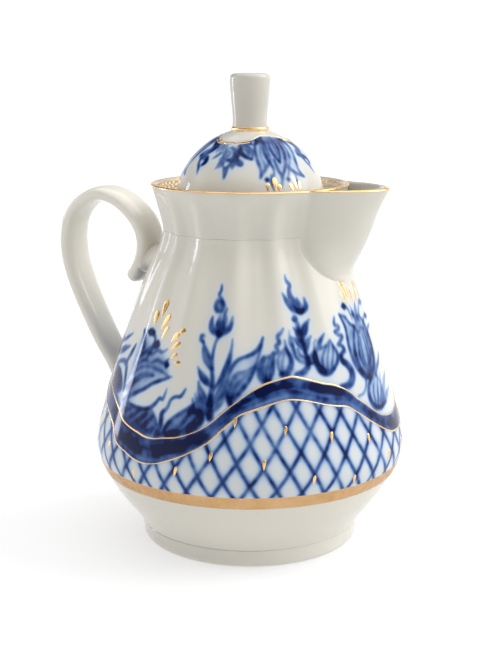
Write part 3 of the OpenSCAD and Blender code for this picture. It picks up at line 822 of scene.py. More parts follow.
# The seam's lower edge is rounded
neck_r[0] -= 0.14
neck_r[1] -= 0.04
lip = [(40.62, 149.75), (40.25, 149.95), (39.8, 150.0), (39.2, 150.0), (38.75, 149.92), (38.45, 149.65)]
throat = [(38.25, 149.2), (38.0, 148.2), (37.35, 146.5), (36.4, 144.2), (35.7, 142), (35.25, 140.4)]
throat += [(35.1, 139.5)]
throat += [(34.9, 139.12), (34.4, 139.0), (33.4, 139.0), (32.6, 139.0), (32.3, 138.8), (32.2, 138.3)]
throat += [(32.2, 136.8), (32.5, 136.0), (33.2, 133.5), (33.4, 131.1)]
tail = np.array(lip + throat)
neck_pts = np.concatenate([at(neck_angles, neck_r, neck_z[:, None]), rings(tail, neck_angles)])
neck_quads = ring_grid(*neck_pts.shape[:2])
# The neck's glaze is darkened as painted shade
neck = mesh_object("neck", neck_pts, neck_quads, NECK_GLAZE_PAINTED_SHADE, "pot", "neck_porcelain")
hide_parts("neck_collar")

# ---------------------------------------------------------------- foot
foot = [(39.5, 8.0), (39.5, 1.5), (39.75, 0.8), (40.3, 0.25), (41.1, 0.0), (42.0, 0.0), (42.9, 0.0)]
foot += [(43.7, 0.2)]
foot += [(44.5, 0.65), (45.15, 1.35), (45.5, 2.2), (45.66, 3.2), (45.76, 4.6), (45.9, 5.9), (46.15, 7.1)]
foot += [(46.48, 8.0)]
foot_ob = turned("foot", foot, 360, WHITE, "pot", "foot_porcelain", closed=True)
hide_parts("foot_ring")

# ---------------------------------------------------------------- beak
KEEL = [(30, 100), (38, 107), (43.0, 111.4), (43.9, 115), (45.1, 118), (47.6, 122.5), (50.2, 127.5)]
KEEL += [(52.9, 134)]
KEEL += [(54.9, 139.7), (56.7, 143.7), (58.4, 147.1), (59.9, 150)]
keel_line = spline(KEEL, 12)
BEAK_HALF = 31  # half of the degrees that the beak takes up round the neck
BEAK_WIDE, BEAK_TAIL = 0.847, 0.098  # from this share of the height down, over this share, it narrows
BEAK_WALL = 2.4
beak_turns = np.radians(np.linspace(-90, 90, 61))
beak_angles = np.linspace(-37, 37, 223)  # from the way the beak points


def beak_section(z, inside):
    """Ahead and sideways places of the beak's skin at a height."""
    r = radius(z)
    u = max(0.0, (BEAK_WIDE - z / RIM_Z) / BEAK_TAIL)
    half = math.radians(BEAK_HALF) * math.sqrt(max(0.03, 1 - u * u))
    y, x = r * math.sin(half), r * math.cos(half)
    k = float(np.interp(z, keel_line[:, 1], keel_line[:, 0]))
    if inside:
        y = max(0.4 * y, y - BEAK_WALL)
        x = math.sqrt(r * r - y * y)
        k -= 1.5 * BEAK_WALL
    px = x + (k - x) * np.cos(beak_turns) ** 1.25
    py = y * np.sign(np.sin(beak_turns)) * np.abs(np.sin(beak_turns)) ** 1.15
    return px, py


def beak_radius(z, inside=False):
    """Radius of the beak's skin at each of its angles. Past its sides it falls away into the wall."""
    px, py = beak_section(z, inside)
    ang, rad = np.degrees(np.arctan2(py, px)), np.hypot(px, py)
    order = np.argsort(ang)
    ang, rad = ang[order], rad[order]
    out = np.interp(beak_angles, ang, rad)
    over = np.abs(beak_angles) - ang[-1]
    return np.where(over > 0, radius(z) - 0.75 * over, out)


SUNK = 0.15  # how deep the beak's mesh lies where the wall hides it
beak_z = np.r_[np.arange(104, 149.2, 0.6), 149.35]
outer_rows, hidden = [], []
for z in beak_z:
    base = wall(beak_angles + BEAK_ANGLE, z)
    total = smooth_max(base, beak_radius(z), 1.5)
    sunk = total - base < 0.02
    outer_rows.append(np.where(sunk, base - SUNK, total))
    hidden.append(sunk)
inner_z_beak = np.arange(149.0, 110, -0.8)
inner_rows, inner_hidden = [], []
for z in inner_z_beak:
    base = wall(beak_angles + BEAK_ANGLE, z)
    r = beak_radius(z, True)
    inner_rows.append(np.where(r < base + 0.03, base - SUNK, r))
    inner_hidden.append(r < base + 0.03)
out_top, in_top = outer_rows[-1], inner_rows[0]
lip_rows, lip_z = [], []
for t, z in ((0.10, 149.72), (0.22, 149.93), (0.4, 150.0), (0.6, 150.0), (0.78, 149.93), (0.9, 149.72)):
    lip_rows.append(out_top + (in_top - out_top) * t)
    lip_z.append(z)
beak_r = np.array(outer_rows + lip_rows + inner_rows)
beak_h = np.r_[beak_z, lip_z, inner_z_beak]
lip_hidden = [hidden[-1] & inner_hidden[0]] * len(lip_rows)
lost = np.array(hidden + lip_hidden + inner_hidden)
beak_pts = at(beak_angles + BEAK_ANGLE, beak_r, beak_h[:, None])
beak_quads = grid(len(beak_h), len(beak_angles))
beak_quads = beak_quads[~lost.ravel()[beak_quads].all(1)]
# The beak's glaze is darkened as painted shade
beak = mesh_object("beak", beak_pts, beak_quads, NECK_GLAZE_PAINTED_SHADE, "pot", "spout_porcelain")
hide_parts("beak_spout")

# ---------------------------------------------------------------- handle
STRAP = [(54.9, 106.4), (53.6, 107.8), (51.2, 110.6), (49, 114.6), (47.4, 119.5), (47.3, 125.5)]
STRAP += [(49.2, 130.8)]
STRAP += [(52.8, 135.3), (57.3, 139.2), (62.4, 141.8), (68.6, 143), (74.9, 140.8), (80.3, 136.5)]
STRAP += [(83.6, 131.2)]
STRAP += [(85, 124.5), (85, 118.5), (83.9, 111.5), (81, 102.7), (75.9, 91.2), (69.3, 78.5), (63.5, 69.2)]
STRAP += [(57.5, 60), (53, 53.5)]
STRAP_HALF_WIDTH, STRAP_HALF_THICKNESS = 9.5, 3.2
RING = 48  # points round the strap
strap = resample(spline(STRAP, 10), 220)
heading = np.gradient(strap, axis=0)
heading /= np.linalg.norm(heading, axis=1)[:, None]
run = np.linspace(0, 1, len(strap)) * np.linalg.norm(np.diff(strap, axis=0), axis=1).sum()
half_w = STRAP_HALF_WIDTH * np.interp(
    run, [0, 1.2, 3, 6, 12, 20, 80, 150], [0.48, 0.68, 0.8, 0.88, 0.95, 1.0, 0.98, 0.86]
)
half_t = STRAP_HALF_THICKNESS * np.interp(run, [0, 0.5, 1.4, 3, 6], [0.4, 0.72, 0.95, 1.04, 1.0])
# The strap spreads a little where it meets the belly
gap_to_wall = strap[:, 0] - radius(strap[:, 1])
flare = 1 + 0.08 * (1 - ease(gap_to_wall, 0, 7)) * ease(run, 60, 100)
half_w = half_w * flare
half_t = half_t * (1 + (flare - 1) * 2.2)


def squarish(count, power):
    """Across and up on a ring of points that is a circle pressed towards a square."""
    t = np.radians(np.arange(count) * 360 / count)
    across, up = np.cos(t), np.sin(t)
    return np.sign(across) * np.abs(across) ** power, np.sign(up) * np.abs(up) ** power


thick, wide = squarish(RING, 0.75)
strap_x = -(strap[:, :1] - heading[:, 1:] * half_t[:, None] * thick)
strap_z = strap[:, 1:] + heading[:, :1] * half_t[:, None] * thick
strap_y = half_w[:, None] * wide
strap_pts = np.stack([AXIS_X + MM * strap_x, MM * strap_y, MM * strap_z], -1)
tip = strap_pts[0].mean(0) + np.array([-heading[0, 0], 0, heading[0, 1]]) * -0.7 * MM
# Fans that close the two ends
turn = np.arange(RING)
after = (turn + 1) % RING
count = len(strap) * RING
start_fan = np.stack([count + 0 * turn, after, turn], 1)
end_fan = np.stack([count + 1 + 0 * turn, count - RING + turn, count - RING + after], 1)
# The handle's glaze is lightened as painted light
handle = mesh_object(
    "handle",
    np.vstack([strap_pts.reshape(-1, 3), tip, strap_pts[-1].mean(0)]),
    grid(len(strap), RING, True),
    HANDLE_GLAZE_PAINTED_LIGHT,
    "pot",
    "handle_porcelain",
    tris=np.vstack([start_fan, end_fan]),
)
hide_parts("strap_handle")

# Root that joins the scroll to the shoulder
ROOT_Z, ROOT_HALF_WIDTH, ROOT_HALF_HEIGHT = 116.4, 7.7, 5.6
root_x = np.linspace(36.5, 48.5, 22)
spread = 1 + 0.25 * (1 - ease(root_x, 38.5, 43.5)) + 0.2 * ease(root_x, 44.5, 48)
across, up = squarish(40, 0.85)
root_y = ROOT_HALF_WIDTH * spread[:, None] * across
root_z = ROOT_Z + ROOT_HALF_HEIGHT * spread[:, None] * up
root_pts = np.stack([AXIS_X - MM * (root_x[:, None] + 0 * root_y), MM * root_y, MM * root_z], -1)
root_quads = grid(len(root_x), 40, True)[:, ::-1]
# The root's glaze is lightened as painted light, like the handle's
mesh_object("handle_root", root_pts, root_quads, HANDLE_GLAZE_PAINTED_LIGHT, "pot", "handle_porcelain")

# ---------------------------------------------------------------- gilding on the pot
edge = np.array([0, 0.03, 0.12, 0.3, 0.6])
band_z = np.r_[BAND[0] + edge, np.linspace(BAND[0] + 0.9, BAND[1] - 0.9, 12), BAND[1] - edge[::-1]]
proud = 0.13 * ease(np.minimum(band_z - BAND[0], BAND[1] - band_z), -0.01, 0.25)
band_profile = np.column_stack([radius(band_z) + proud, band_z])
band = turned("gold_band", band_profile, 720, GOLD_BAND, "pot", "belly_gold")
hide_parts("belly_gilding")


def across_line(a, z, k, closed=False):
    """Unit step square across a line on a wall, as mm round it and mm up it. A degree is k mm."""
    if closed:
        da = np.gradient(np.r_[a[-1] - 360, a, a[0] + 360])[1:-1]
        dz = np.gradient(np.r_[z[-1], z, z[0]])[1:-1]
    else:
        da, dz = np.gradient(a), np.gradient(z)
    length = np.hypot(da * k, dz)
    return -dz / length, da * k / length


def strip_on_wall(line, widths, height):
    """Raised line of gold once round the pot along (angle, height) points, as (points, quads)."""
    a, z = line[:, 0], line[:, 1]
    k = np.radians(1) * radius(z)
    side, rise = across_line(a, z, k, True)
    rows = []
    for off, up in ((-0.5, -0.04), (-0.42, 0.6), (-0.2, 1.0), (0.2, 1.0), (0.42, 0.6), (0.5, -0.04)):
        aa, zz = a + side / k * off * widths, z + rise * off * widths
        rows.append(at(aa, wall(aa, zz) + height * up, zz))
    return np.array(rows), grid(len(rows), len(a), True)


DROP_HEIGHT, LATTICE_DROP_HEIGHT = 0.08, 0.14  # how far a drop of gold stands out
DROP_RINGS = ((1.0, -0.3), (0.97, 0.5), (0.9, 0.92), (0.5, 1.0), (0.02, 1.02))  # (size, height)


def drop_on(surface, a, z, length, width, lean, height=DROP_HEIGHT):
    """Teardrop of gold with its thin end up, leaning to the right by lean degrees. Surface turns an
    angle, a height, steps to the right and up and a height above the wall into points."""
    t = np.linspace(0, 2 * np.pi, 20, endpoint=False)
    x = 0.5 * width * np.sin(t) * (0.84 - 0.5 * np.cos(t))
    y = 0.5 * length * np.cos(t)
    c, s = math.cos(math.radians(lean)), math.sin(math.radians(lean))
    rows = []
    for size, up in DROP_RINGS:
        px, py = size * x, size * y
        rows.append(surface(a, z, c * px + s * py, -s * px + c * py, up * height))
    return np.array(rows), grid(len(rows), len(t), True)


def on_pot(a, z, dx, dy, up):
    """Point of the pot's wall dx mm to the right of an angle and dy mm up the wall from a height."""
    zz = z + dy * 0.97
    aa = a + dx / (np.radians(1) * radius(zz))
    return at(aa, wall(aa, zz) + up, zz)


line_a = np.arange(-76, 284, 0.5)
gold_parts = []
for keys, phase in ((RIBBON_TOP, 0.0), (RIBBON_LOW, 2.0)):
    width = 0.52 + 0.12 * np.sin(np.radians(5 * line_a) + phase) + 0.08 * np.sin(np.radians(23 * line_a))
    line = np.column_stack([line_a, ribbon(keys, line_a)])
    gold_parts.append(strip_on_wall(line, width, 0.15))
# Drops on the lattice, as (angle, height)
LATTICE_DROPS = [(-45, 39.8), (-26.3, 45), (-13.7, 52), (-5.4, 65), (4.8, 49.4), (12.8, 61.6), (22.2, 42.2)]
LATTICE_DROPS += [(30.5, 57.3), (39, 39.4), (48, 53.5), (60, 43.5), (-62, 47)]
again = [(a + 112, z) for a, z in LATTICE_DROPS[5:9]] + [(a + 235, z) for a, z in LATTICE_DROPS[4:10]]
LATTICE_DROPS += again
LATTICE_DROPS += [(75, 44), (88, 47), (99, 52), (170, 50.5), (182, 42), (193, 40), (206, 45), (217, 50)]
for i, (a, z) in enumerate(LATTICE_DROPS):
    length, lean = 4.0 + 0.4 * math.sin(2.1 * i), 188 + 4 * math.sin(1.3 * i)
    gold_parts.append(drop_on(on_pot, a, z, length, 1.5, lean, LATTICE_DROP_HEIGHT))
# Drops over the flowers, as (angle, height, length, width, lean)
CLUSTERS = [(-49.7, 99.7, 6.2, 2.7, -4), (-46.2, 103.6, 7.4, 2.8, 6), (-43.2, 98.8, 7.4, 2.6, 24)]
CLUSTERS += [(-41.9, 94.9, 6.2, 1.9, 22)]
CLUSTERS += [(-31.6, 96.6, 3.6, 2.4, 58), (-35.2, 93.8, 5.6, 2.4, 38), (-34, 90.8, 6.2, 2.2, 52)]
CLUSTERS += [(-33.6, 87.2, 3.8, 1.8, 50), (-31.4, 85, 3.0, 1.9, 85)]
CLUSTERS += [(55.6, 110.2, 8.4, 2.2, -20), (54.4, 106.4, 6.4, 2.0, -28), (59.4, 108.2, 6.4, 2.0, -12)]
CLUSTERS += [(61, 106.4, 6.2, 2.2, 0)]
CLUSTERS += [(68, 110.4, 8.4, 2.2, 24), (66.4, 106.2, 5.0, 2.0, 12)]
CLUSTERS += [(a + 230, z, l, w, t) for a, z, l, w, t in CLUSTERS[:9]]
CLUSTERS += [(a + 115, z - 3, l, w, t) for a, z, l, w, t in CLUSTERS[9:15]]
for a, z, length, width, lean in CLUSTERS:
    gold_parts.append(drop_on(on_pot, a, z, length, width, lean + 180))
mesh_object("garden_gold", *join_parts(gold_parts), GOLD, "pot", "belly_gold")

# Gold on the edge of the neck and the beak
rim_profile = [(40.84, 149.42), (40.88, 149.55), (40.72, 149.82), (40.32, 150.03), (39.8, 150.09)]
rim_profile += [(39.2, 150.09), (38.85, 150.0)]
rim_rings = rings(rim_profile, np.arange(-180, 180, 0.5))
rows, heights = [out_top + 0.03], [149.34]
for share, z in ((0.0, 149.5), (0.10, 149.8), (0.22, 150.02), (0.4, 150.09), (0.55, 150.09)):
    rows.append(out_top + 0.09 * (1 - share) + (in_top - out_top) * share)
    heights.append(z)
# Only where the beak leaves the neck
keep = (out_top > radius(149.4) + 0.02) & (np.abs(beak_angles) < 33)
beak_edge = at(beak_angles[keep] + BEAK_ANGLE, np.array(rows)[:, keep], np.array(heights)[:, None])
parts = [(edge, grid(*edge.shape[:2], closed)) for edge, closed in ((rim_rings, True), (beak_edge, False))]
rim = mesh_object("gold_rim", *join_parts(parts), GOLD, "pot", "rim_gold")
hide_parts("rim_gilding")

# ---------------------------------------------------------------- lid
DOME = [(31.1, 3.4), (30.6, 7), (29.8, 10.5), (28.4, 14.2), (26.2, 18.2), (23.6, 21.8), (20.4, 25)]
DOME += [(16.6, 28)]
DOME += [(13.2, 30), (9.6, 31.6)]
LEDGE = 139.0
dome_line = spline([*DOME, (7.5, 32.3)], 14)
dome_s = np.r_[0, np.cumsum(np.linalg.norm(np.diff(dome_line, axis=0), axis=1))]


def dome_at(s):
    """Radius and height of the dome at a length along it from its brim."""
    return np.interp(s, dome_s, dome_line[:, 0]), LEDGE + np.interp(s, dome_s, dome_line[:, 1])


lid_rows = np.arange(0.0, dome_s[-1] - 0.2, LID_STEP)
lid_paint = Paint(LID_COLS, lid_rows, dome_at(lid_rows)[0])


def garland(p):
    """A third of the lid's garland, hanging from its wavy line."""
    # Curled leaf at the left
    p.stroke(0.75, (-57, 31.4, 1.6), (-51, 29.4, 2.8), (-47.4, 27, 3.2), (-50.4, 24.4, 3.0),
             (-57, 23.4, 2.6), (-61, 22.2, 1.4), core=0.8)
    p.stroke(0.85, (-61, 22, 1.4), (-56, 21.2, 2.2), (-49, 20.8, 2.4), (-46, 19, 2.2), (-48.6, 17.6, 1.4))
    p.stroke(0.65, (-56, 20, 1.6), (-54.4, 17.6, 1.4), (-52, 16.2, 1.5), (-50, 13.2, 0.6))
    p.wash([(-55, 31), (-44, 29), (-32, 28.6), (-28, 27), (-34, 24.4), (-40, 24), (-46, 26)], 0.28)
    for a in (-42, -38, -34, -30):
        p.stroke(0.4, (a - 2, 29, 1.0), (a + 1, 26.4, 0.9), (a + 3, 24, 0.5))
    p.stroke(0.75, (-39, 20.8, 0.8), (-36, 22, 1.5), (-32.6, 23.6, 0.8))
    # First curled flower with its drops
    p.shape([(-30, 24), (-27, 26.4), (-21.6, 26.6), (-17, 24), (-18.6, 21.2), (-24, 20.6), (-28.6, 21.8)],
             0.66, 0.1, 0.6)
    p.stroke(0.85, (-22, 27, 1.2), (-16.6, 25.4, 2.0), (-14, 22.8, 2.6), (-16.8, 20.4, 2.2),
             (-22, 20.2, 1.3))
    p.stroke(0.6, (-27, 23, 1.0), (-24.6, 24.8, 1.1), (-21.6, 24, 1.1), (-23, 22.2, 1.0),
             (-25.6, 22.4, 0.7))
    p.leaf((-25.6, 20.8), (-31.6, 16.2), 2.2, 0.4, 0.78)
    p.shape([(-27, 19.4), (-24.4, 16.6), (-21.6, 11.8), (-19.4, 15.4), (-19, 18.4), (-22.6, 17)], 0.82, 0.4,
             0.7)
    p.leaf((-16.6, 20.6), (-15.4, 16.2), 2.2, 0, 0.78)
    p.leaf((-13.6, 21.4), (-6.8, 18), 2.4, -0.4, 0.8, 0.9, 0.7)
    p.leaf((-28, 21.4), (-31, 20), 1.2, 0, 0.5)
    # Second curled flower
    p.shape([(-12.6, 27.6), (-6, 28.8), (1, 27.2), (3.8, 24.4), (2, 20.8), (-4, 21.8), (-10.6, 24.2)], 0.82,
             0.16, 0.7)
    p.stroke(0.7, (-13, 28, 1.6), (-10.6, 24.6, 1.9), (-5, 22.2, 1.7), (1.6, 20.8, 1.0))
    p.stroke(0.5, (-7, 27.6, 0.8), (-1.6, 26.6, 1.1), (0.4, 24.2, 1.1), (-1, 22.6, 0.6))
    p.stroke(0.45, (-8, 26.4, 0.6), (-4, 25.6, 0.9), (-2.4, 24, 0.6))
    p.stroke(0.7, (-14, 29.4, 1.0), (-8, 29.8, 1.8), (-1, 29.6, 2.0), (3.6, 28.6, 0.8))
    # Pendent tulip
    p.shape([(6, 31.4), (5.4, 26), (7.4, 19.6), (9.6, 14), (8, 12.2), (13, 14.4), (18, 19), (23, 18.6),
             (27.8, 15.6), (32, 18.6), (38, 19.6), (43, 15.4), (49.6, 12.2), (46.8, 16), (50, 22), (55, 27),
             (52, 32), (40, 33.8), (24, 33.8)], 0.2, 0.13, 1.0)
    p.shape([(8, 30), (16, 28.6), (28, 29.4), (44, 29), (58, 29), (66, 31.4), (54, 33.2), (36, 34),
             (20, 34), (10, 32.4)], 0.44, 0.38, 1.0, 1.0)
    p.stroke(0.8, (8, 29.2, 1.2), (12, 31, 2.2), (19, 33.6, 1.0))
    p.stroke(0.72, (6.4, 29.4, 0.8), (5.4, 25, 1.1), (7, 20, 1.1), (9.2, 15.6, 1.1), (8.4, 12.4, 0.7))
    p.stroke(0.75, (51, 32, 1.0), (56, 28.6, 1.3), (53.4, 24.4, 1.2), (48.4, 19.4, 1.1), (46.6, 15.4, 1.1),
             (50, 12.2, 0.7))
    p.stroke(0.42, (15, 30, 0.8), (12, 26.4, 0.7), (11, 22.4, 0.6), (13.4, 17.6, 0.6), (9.4, 13.4, 0.8))
    p.stroke(0.72, (19, 31, 1.4), (16.2, 26.4, 1.5), (17, 21.4, 1.4), (20.6, 16.6, 0.9), (20, 13.4, 0.6))
    p.stroke(0.6, (21.6, 30, 0.8), (19.6, 26, 1.0), (20.4, 22, 0.6))
    p.stroke(0.78, (25.6, 31, 1.1), (24.6, 26.4, 1.2), (25.8, 22.4, 1.2), (28.8, 19.2, 0.8))
    p.stroke(0.5, (31, 30, 0.9), (30.4, 26.6, 0.9), (29, 22.6, 0.5))
    p.stroke(0.72, (36, 31.4, 1.0), (35.6, 27.4, 1.2), (32.4, 23, 1.2), (28.8, 19.2, 0.8))
    p.stroke(0.78, (42.4, 31.6, 1.1), (41.8, 27, 1.5), (37.6, 21.6, 1.6), (32.2, 16.6, 1.3),
             (27, 12.4, 0.8))
    p.stroke(0.62, (48.6, 31.4, 0.9), (47.8, 27, 1.0), (43.4, 21.8, 1.0), (37, 16.8, 0.9), (33, 13, 0.6))
    p.stroke(0.6, (23.6, 20.6, 0.8), (24.6, 16, 1.2), (27.2, 12.6, 1.5), (24.6, 8.4, 0.8))
    p.stroke(0.65, (33.6, 17.6, 0.9), (38, 15.4, 1.2), (44, 13.6, 1.5), (49.4, 12.4, 1.0))
    p.stroke(0.5, (36, 18, 0.7), (41, 14.6, 1.0), (40.4, 11.4, 0.6))
    p.stroke(0.45, (12.4, 15.2, 0.7), (16.4, 17.8, 1.0), (20.4, 21, 0.6))
    p.stroke(0.7, (18, 13.6, 0.9), (17.2, 10.6, 1.3), (18.8, 7.6, 0.8))
    p.dot(13.6, 11.7, 2.0, 1.0, 0.92)
    p.dot(32, 11.6, 1.9, 1.0, 0.92)
    p.dot(40, 10.2, 1.1, 1.2, 0.7)
    # Ribbon under the wavy line
    p.stroke(0.45, (-64, 32.4, 0.9), (-52, 30.2, 1.1), (-40, 29.6, 1.0), (-26, 29.8, 1.1), (-12, 30, 1.2),
             (2, 31.2, 1.6), (12, 32.8, 1.2))


THIRDS = (0, 120, 240)
for turn in THIRDS:
    lid_paint.turn = turn
    garland(lid_paint)
lid_ink = lid_paint.fired(LID_STEP)

BRIM = 34.35  # radius of the brim, which leaves it free in the neck
lid_below = [(28.7, 141.6), (28.7, 139.3), (29.0, 139.0), (31, 139.0), (BRIM - 0.5, 139.0)]
lid_below += [(BRIM - 0.1, 139.15), (BRIM, 139.5)]
lid_below += [(BRIM, 140.7), (BRIM - 0.15, 141.15), (BRIM - 0.6, 141.4), (32.6, 141.5), (31.75, 141.6)]
lid_below += [(31.3, 141.85)]
lid_top = [(7.45, 171.31), (7.2, 171.35), (4, 171.35), (0.05, 171.35)]
lid_in = [(0.05, 167.8), (4, 167.7), (8, 166.8), (12, 165.2), (16, 162.6), (20, 159.3), (23.4, 155.4)]
lid_in += [(25.8, 151), (27.3, 146.5), (28.2, 143.5), (28.65, 142)]
lid_profile = [*lid_below, *zip(*dome_at(lid_rows), strict=True), *lid_top, *lid_in]
lid_pts = rings(lid_profile, np.arange(LID_COLS) * 360 / LID_COLS - 180)
lid_mark = np.zeros(lid_pts.shape[:2])
lid_mark[len(lid_below) : len(lid_below) + len(lid_rows)] = lid_ink
lid_quads = grid(len(lid_profile), LID_COLS, True)
lid = mesh_object("lid", lid_pts, lid_quads, PAINTED, "lid", "lid_porcelain", {"ink": lid_mark})
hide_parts("lid_dome")

collar = [(28.7, 139.0), (28.7, 129.5), (28.95, 129.1), (29.5, 129.0), (30.4, 129.0), (30.9, 129.3)]
collar += [(31.1, 129.8), (31.3, 139.0)]
collar_ob = turned("lid_sleeve", collar, 240, INSIDE, "lid", "collar_porcelain", closed=True)
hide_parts("lid_collar")

KNOB_Z = 171  # top of the dome, where the knob stands
KNOB = [(0.05, 0.0), (7.1, 0.0), (7.26, 0.6), (7.24, 1.6), (7.13, 3), (7.1, 5), (7.27, 8), (7.68, 12)]
KNOB += [(8.08, 16.5)]
KNOB += [(8.3, 20), (8.27, 21.2), (8.05, 21.95), (7.6, 22.5), (6.8, 22.95), (5.2, 23.2), (2.6, 23.35)]
KNOB += [(0.05, 23.4)]
knob_profile = np.vstack([KNOB[:2], spline(KNOB[2:], 6)]) + (0, KNOB_Z)
# The knob's glaze is darkened as painted shade
knob = turned("knob", knob_profile, 160, KNOB_GLAZE_PAINTED_SHADE, "lid", "knob_porcelain")
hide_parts("lid_knob")
bead = [(7.15, 171.2), (7.6, 171.2), (7.74, 171.35), (7.8, 171.7), (7.76, 172.1), (7.66, 172.45)]
bead += [(7.5, 172.7), (7.3, 172.75), (7.1, 172.7)]
bead_ob = turned("knob_bead", bead, 160, GOLD, "lid", "knob_gold", closed=True)
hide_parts("knob_gilding")


def on_lid(a, s, dx, dy, up):
    """Point of the dome dx mm to the right of an angle and dy mm up the dome from a length."""
    s = s + dy
    r, z = dome_at(s)
    slope = np.arctan2(dome_at(s + 0.3)[0] - dome_at(s - 0.3)[0], 0.6)
    return at(a + dx / (np.radians(1) * r), r + up * np.cos(slope), z - up * np.sin(slope))


def lid_strip(line, width):
    """Raised line of gold along (angle, length) points of the dome, as (points, quads)."""
    a, s = line[:, 0], line[:, 1]
    side, rise = across_line(a, s, np.radians(1) * dome_at(s)[0])
    rows = []
    for off, up in ((-0.5, -0.04), (-0.4, 0.08), (-0.15, 0.14), (0.15, 0.14), (0.4, 0.08), (0.5, -0.04)):
        rows.append(on_lid(a, s, side * off * width, rise * off * width, up))
    return np.array(rows), grid(len(rows), len(a))


# Drops on a third of the lid, as (angle, length along the dome, length, width, lean)
LID_DROPS = [(13.8, 8.5, 3.6, 2.0, 0), (19.6, 9.5, 5.8, 2.4, 0), (23, 8.0, 3.2, 2.2, 8)]
LID_DROPS += [(33.6, 8.1, 3.4, 1.9, -14), (37.6, 9.8, 5.8, 2.2, -10), (42, 8.5, 3.8, 2.0, 6)]
WAVY = [(-66, 33.7), (-58, 32.4), (-52, 31), (-45, 30.4), (-38, 30.3), (-31, 30.7), (-24, 30.8)]
WAVY += [(-19, 30.1)]
WAVY += [(-12, 30.6), (-4, 31.1), (3, 32.4), (10, 33.9), (16, 35.0), (24, 35.4), (32, 35.4), (42, 34.9)]
WAVY += [(54, 33.7)]
WAVY_LOW = [(-60, 31.4), (-52, 30), (-44, 29.4), (-38, 29.5), (-33, 29), (-26, 29.5), (-20, 28.6)]
WAVY_LOW += [(-14, 29.3), (-7, 29.7), (0, 30.2)]
lid_gold = []
for turn in THIRDS:
    for a, s, length, width, lean in LID_DROPS:
        lid_gold.append(drop_on(on_lid, a + turn, s, 1.08 * length, 0.9 * width, lean + 180))
for turn in THIRDS:
    for keys, width in ((WAVY, 0.75), (WAVY_LOW, 0.6)):
        line = resample(spline([(a + turn, s) for a, s in keys], 8), 160)
        lid_gold.append(lid_strip(line, width))
mesh_object("lid_gold", *join_parts(lid_gold), GOLD, "lid", "knob_gold")

# Gold lacework inside the neck, above the lid's brim
THROAT = [(35.25, 140.6), (35.7, 142), (36.4, 144.2), (37.35, 146.5), (38.0, 148.2), (38.25, 149.2)]
throat_line = spline(THROAT, 6)
LACE_R = 36.5  # about the middle of the lace
LOOPS = 72
LACE_ROWS = (142.5, 144.25, 146.0, 147.75)


def lace_strip(a, z, width):
    """Line of gold along (angle, height) points of the throat, as (points, quads)."""
    k = math.radians(1) * LACE_R
    side, rise = across_line(a, z, k)
    rows = []
    for off, up in ((0.5, -0.04), (0.3, 0.07), (-0.3, 0.07), (-0.5, -0.04)):
        zz = z + rise * off * width
        r = np.interp(zz, throat_line[:, 1], throat_line[:, 0]) - up
        rows.append(at(a + side / k * off * width, r, zz))
    return np.array(rows), grid(len(rows), len(a))


all_round = np.linspace(-180, 180, 721)
lace = [lace_strip(all_round, z + 0 * all_round, width) for z, width in ((141.6, 0.4), (148.9, 0.5))]
t = np.linspace(0, 2 * np.pi, 13)
for i in range(LOOPS):
    for row, z in enumerate(LACE_ROWS):
        a = i * 360 / LOOPS + row * 2.5
        lace.append(lace_strip(a + 1.6 * np.cos(t), z + 0.8 * np.sin(t), 0.42))
        lace.append(lace_strip(a + 2.5 + 0.4 * np.cos(t), z + 0.87 + 0.22 * np.sin(t), 0.34))
mesh_object("neck_lace", *join_parts(lace), GOLD, "pot", "rim_gold")

# ---------------------------------------------------------------- stage, light and camera
floor_mat, nt, bsdf = node_material("pale_floor")
tone = ramp(nt, noise(nt, 3, 2), [(0.3, (0.42, 0.42, 0.42)), (0.7, (0.45, 0.45, 0.45))])
nt.links.new(tone, bsdf.inputs["Base Color"])
bsdf.inputs["Emission Color"].default_value = (1.0, 1.0, 1.0, 1)
bsdf.inputs["Emission Strength"].default_value = 0.54
bsdf.inputs["Roughness"].default_value = 0.7
bsdf.inputs["Specular IOR Level"].default_value = 0.1
FLOOR = 60.0  # metres from the middle to an edge
corners = [(-FLOOR, -FLOOR, 0), (FLOOR, -FLOOR, 0), (FLOOR, FLOOR, 0), (-FLOOR, FLOOR, 0)]
floor = mesh_object("floor", corners, [[0, 1, 2, 3]], floor_mat)


view = math.radians(VIEW)
right = np.array([math.cos(view), math.sin(view), 0])
back = np.array([-math.sin(view), math.cos(view), 0])
up = np.array([0, 0, 1])


def seen(x, y, z):
    """A step x to the right, y back and z up, as the camera sees it."""
    return x * right + y * back + z * up


def place(x, y, z):
    """A point x to the right of the pot, y behind it and z up, as the camera sees it."""
    return tuple(np.array([AXIS_X, 0, 0]) + seen(x, y, z))


def light(name, data, power, towards):
    """A light that shines towards a direction."""
    data.energy = power
    ob = bpy.data.objects.new(name, data)
    scene.collection.objects.link(ob)
    ob.rotation_euler = Vector(towards).to_track_quat("-Z", "Y").to_euler()
    return ob


def lamp(name, where, aim, size_x, size_y, power, colour=(1, 1, 1)):
    """A rectangular lamp that lights the pot but isn't seen itself."""
    data = bpy.data.lights.new(name, "AREA")
    data.shape = "RECTANGLE"
    data.size = size_x
    data.size_y = size_y
    data.color = colour
    ob = light(name, data, power, Vector(aim) - Vector(where))
    ob.location = where
    ob.visible_camera = False


def sunlight(name, power, spread, towards):
    """Even light from a disc of sky that is spread degrees wide."""
    data = bpy.data.lights.new(name, "SUN")
    data.angle = math.radians(spread)
    light(name, data, power, seen(*towards))


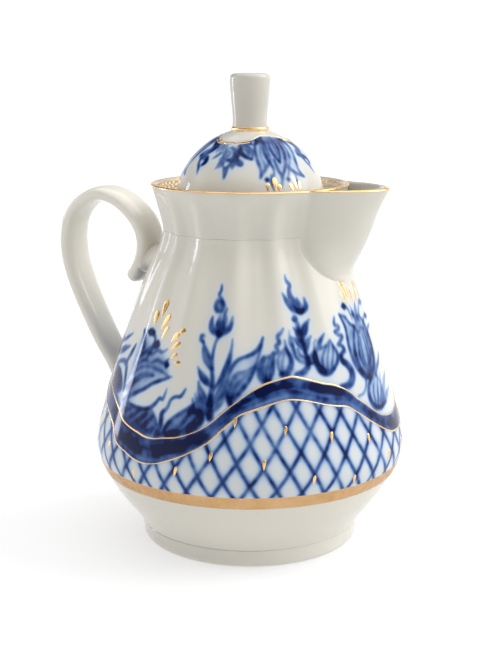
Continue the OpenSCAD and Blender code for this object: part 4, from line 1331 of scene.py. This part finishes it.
# A bright room: white low down all round, dim above, brighter above to the back and the right
world = bpy.data.worlds.new("studio")
scene.world = world
world.use_nodes = True
wn = world.node_tree
coord = wn.nodes.new("ShaderNodeTexCoord")
split = wn.nodes.new("ShaderNodeSeparateXYZ")
wn.links.new(coord.outputs["Generated"], split.inputs[0])
side = wn.nodes.new("ShaderNodeVectorMath")
side.operation = "DOT_PRODUCT"
side.inputs[1].default_value = tuple(seen(0.96, 0.28, 0))
wn.links.new(coord.outputs["Generated"], side.inputs[0])
ceiling = remap(wn, side.outputs["Value"], 0.02, 0.8, -0.2, 0.9)
low = remap(wn, split.outputs["Z"], 1.0, 0.0, 0.20, 0.27)
left_side = remap(wn, side.outputs["Value"], 0.15, 0.0, -0.95, -0.35)
ceiling = maths(wn, "MAXIMUM", ceiling, left_side)
sky = maths(wn, "ADD", maths(wn, "MULTIPLY", low, maths(wn, "SUBTRACT", 1.06, ceiling)), ceiling)
wn.links.new(sky, wn.nodes["Background"].inputs["Strength"])
wn.nodes["Background"].inputs["Color"].default_value = (1.0, 1.0, 1.0, 1)

sunlight("overhead", 2.5, 100, (-0.16, -0.02, -1.0))
sunlight("key", 1.5, 40, (-0.84, -0.05, -0.56))
lamp("window", place(-0.90, 0.43, 0.21), place(0, 0, 0.21), 0.13, 0.42, 1.8, (0.84, 0.86, 1.0))
lamp("softbox", place(-0.92, 0.10, 0.52), place(0, 0, 0.1), 0.42, 0.40, 0.95)

CAMERA_AWAY, CAMERA_UP = 0.5177, 0.2007  # metres from the pot's axis and above the table
CAMERA_TILT = 11.95  # degrees that it looks down
cam_data = bpy.data.cameras.new("camera")
cam_data.sensor_width = 36.0
cam_data.lens = 70.208372
cam_data.clip_start = 0.01
cam_data.clip_end = 200
cam = bpy.data.objects.new("camera", cam_data)
scene.collection.objects.link(cam)
scene.camera = cam
cam.location = place(0, -CAMERA_AWAY, CAMERA_UP)
cam.rotation_euler = (math.radians(90 - CAMERA_TILT), 0, view)
scene.view_settings.view_transform = "Standard"
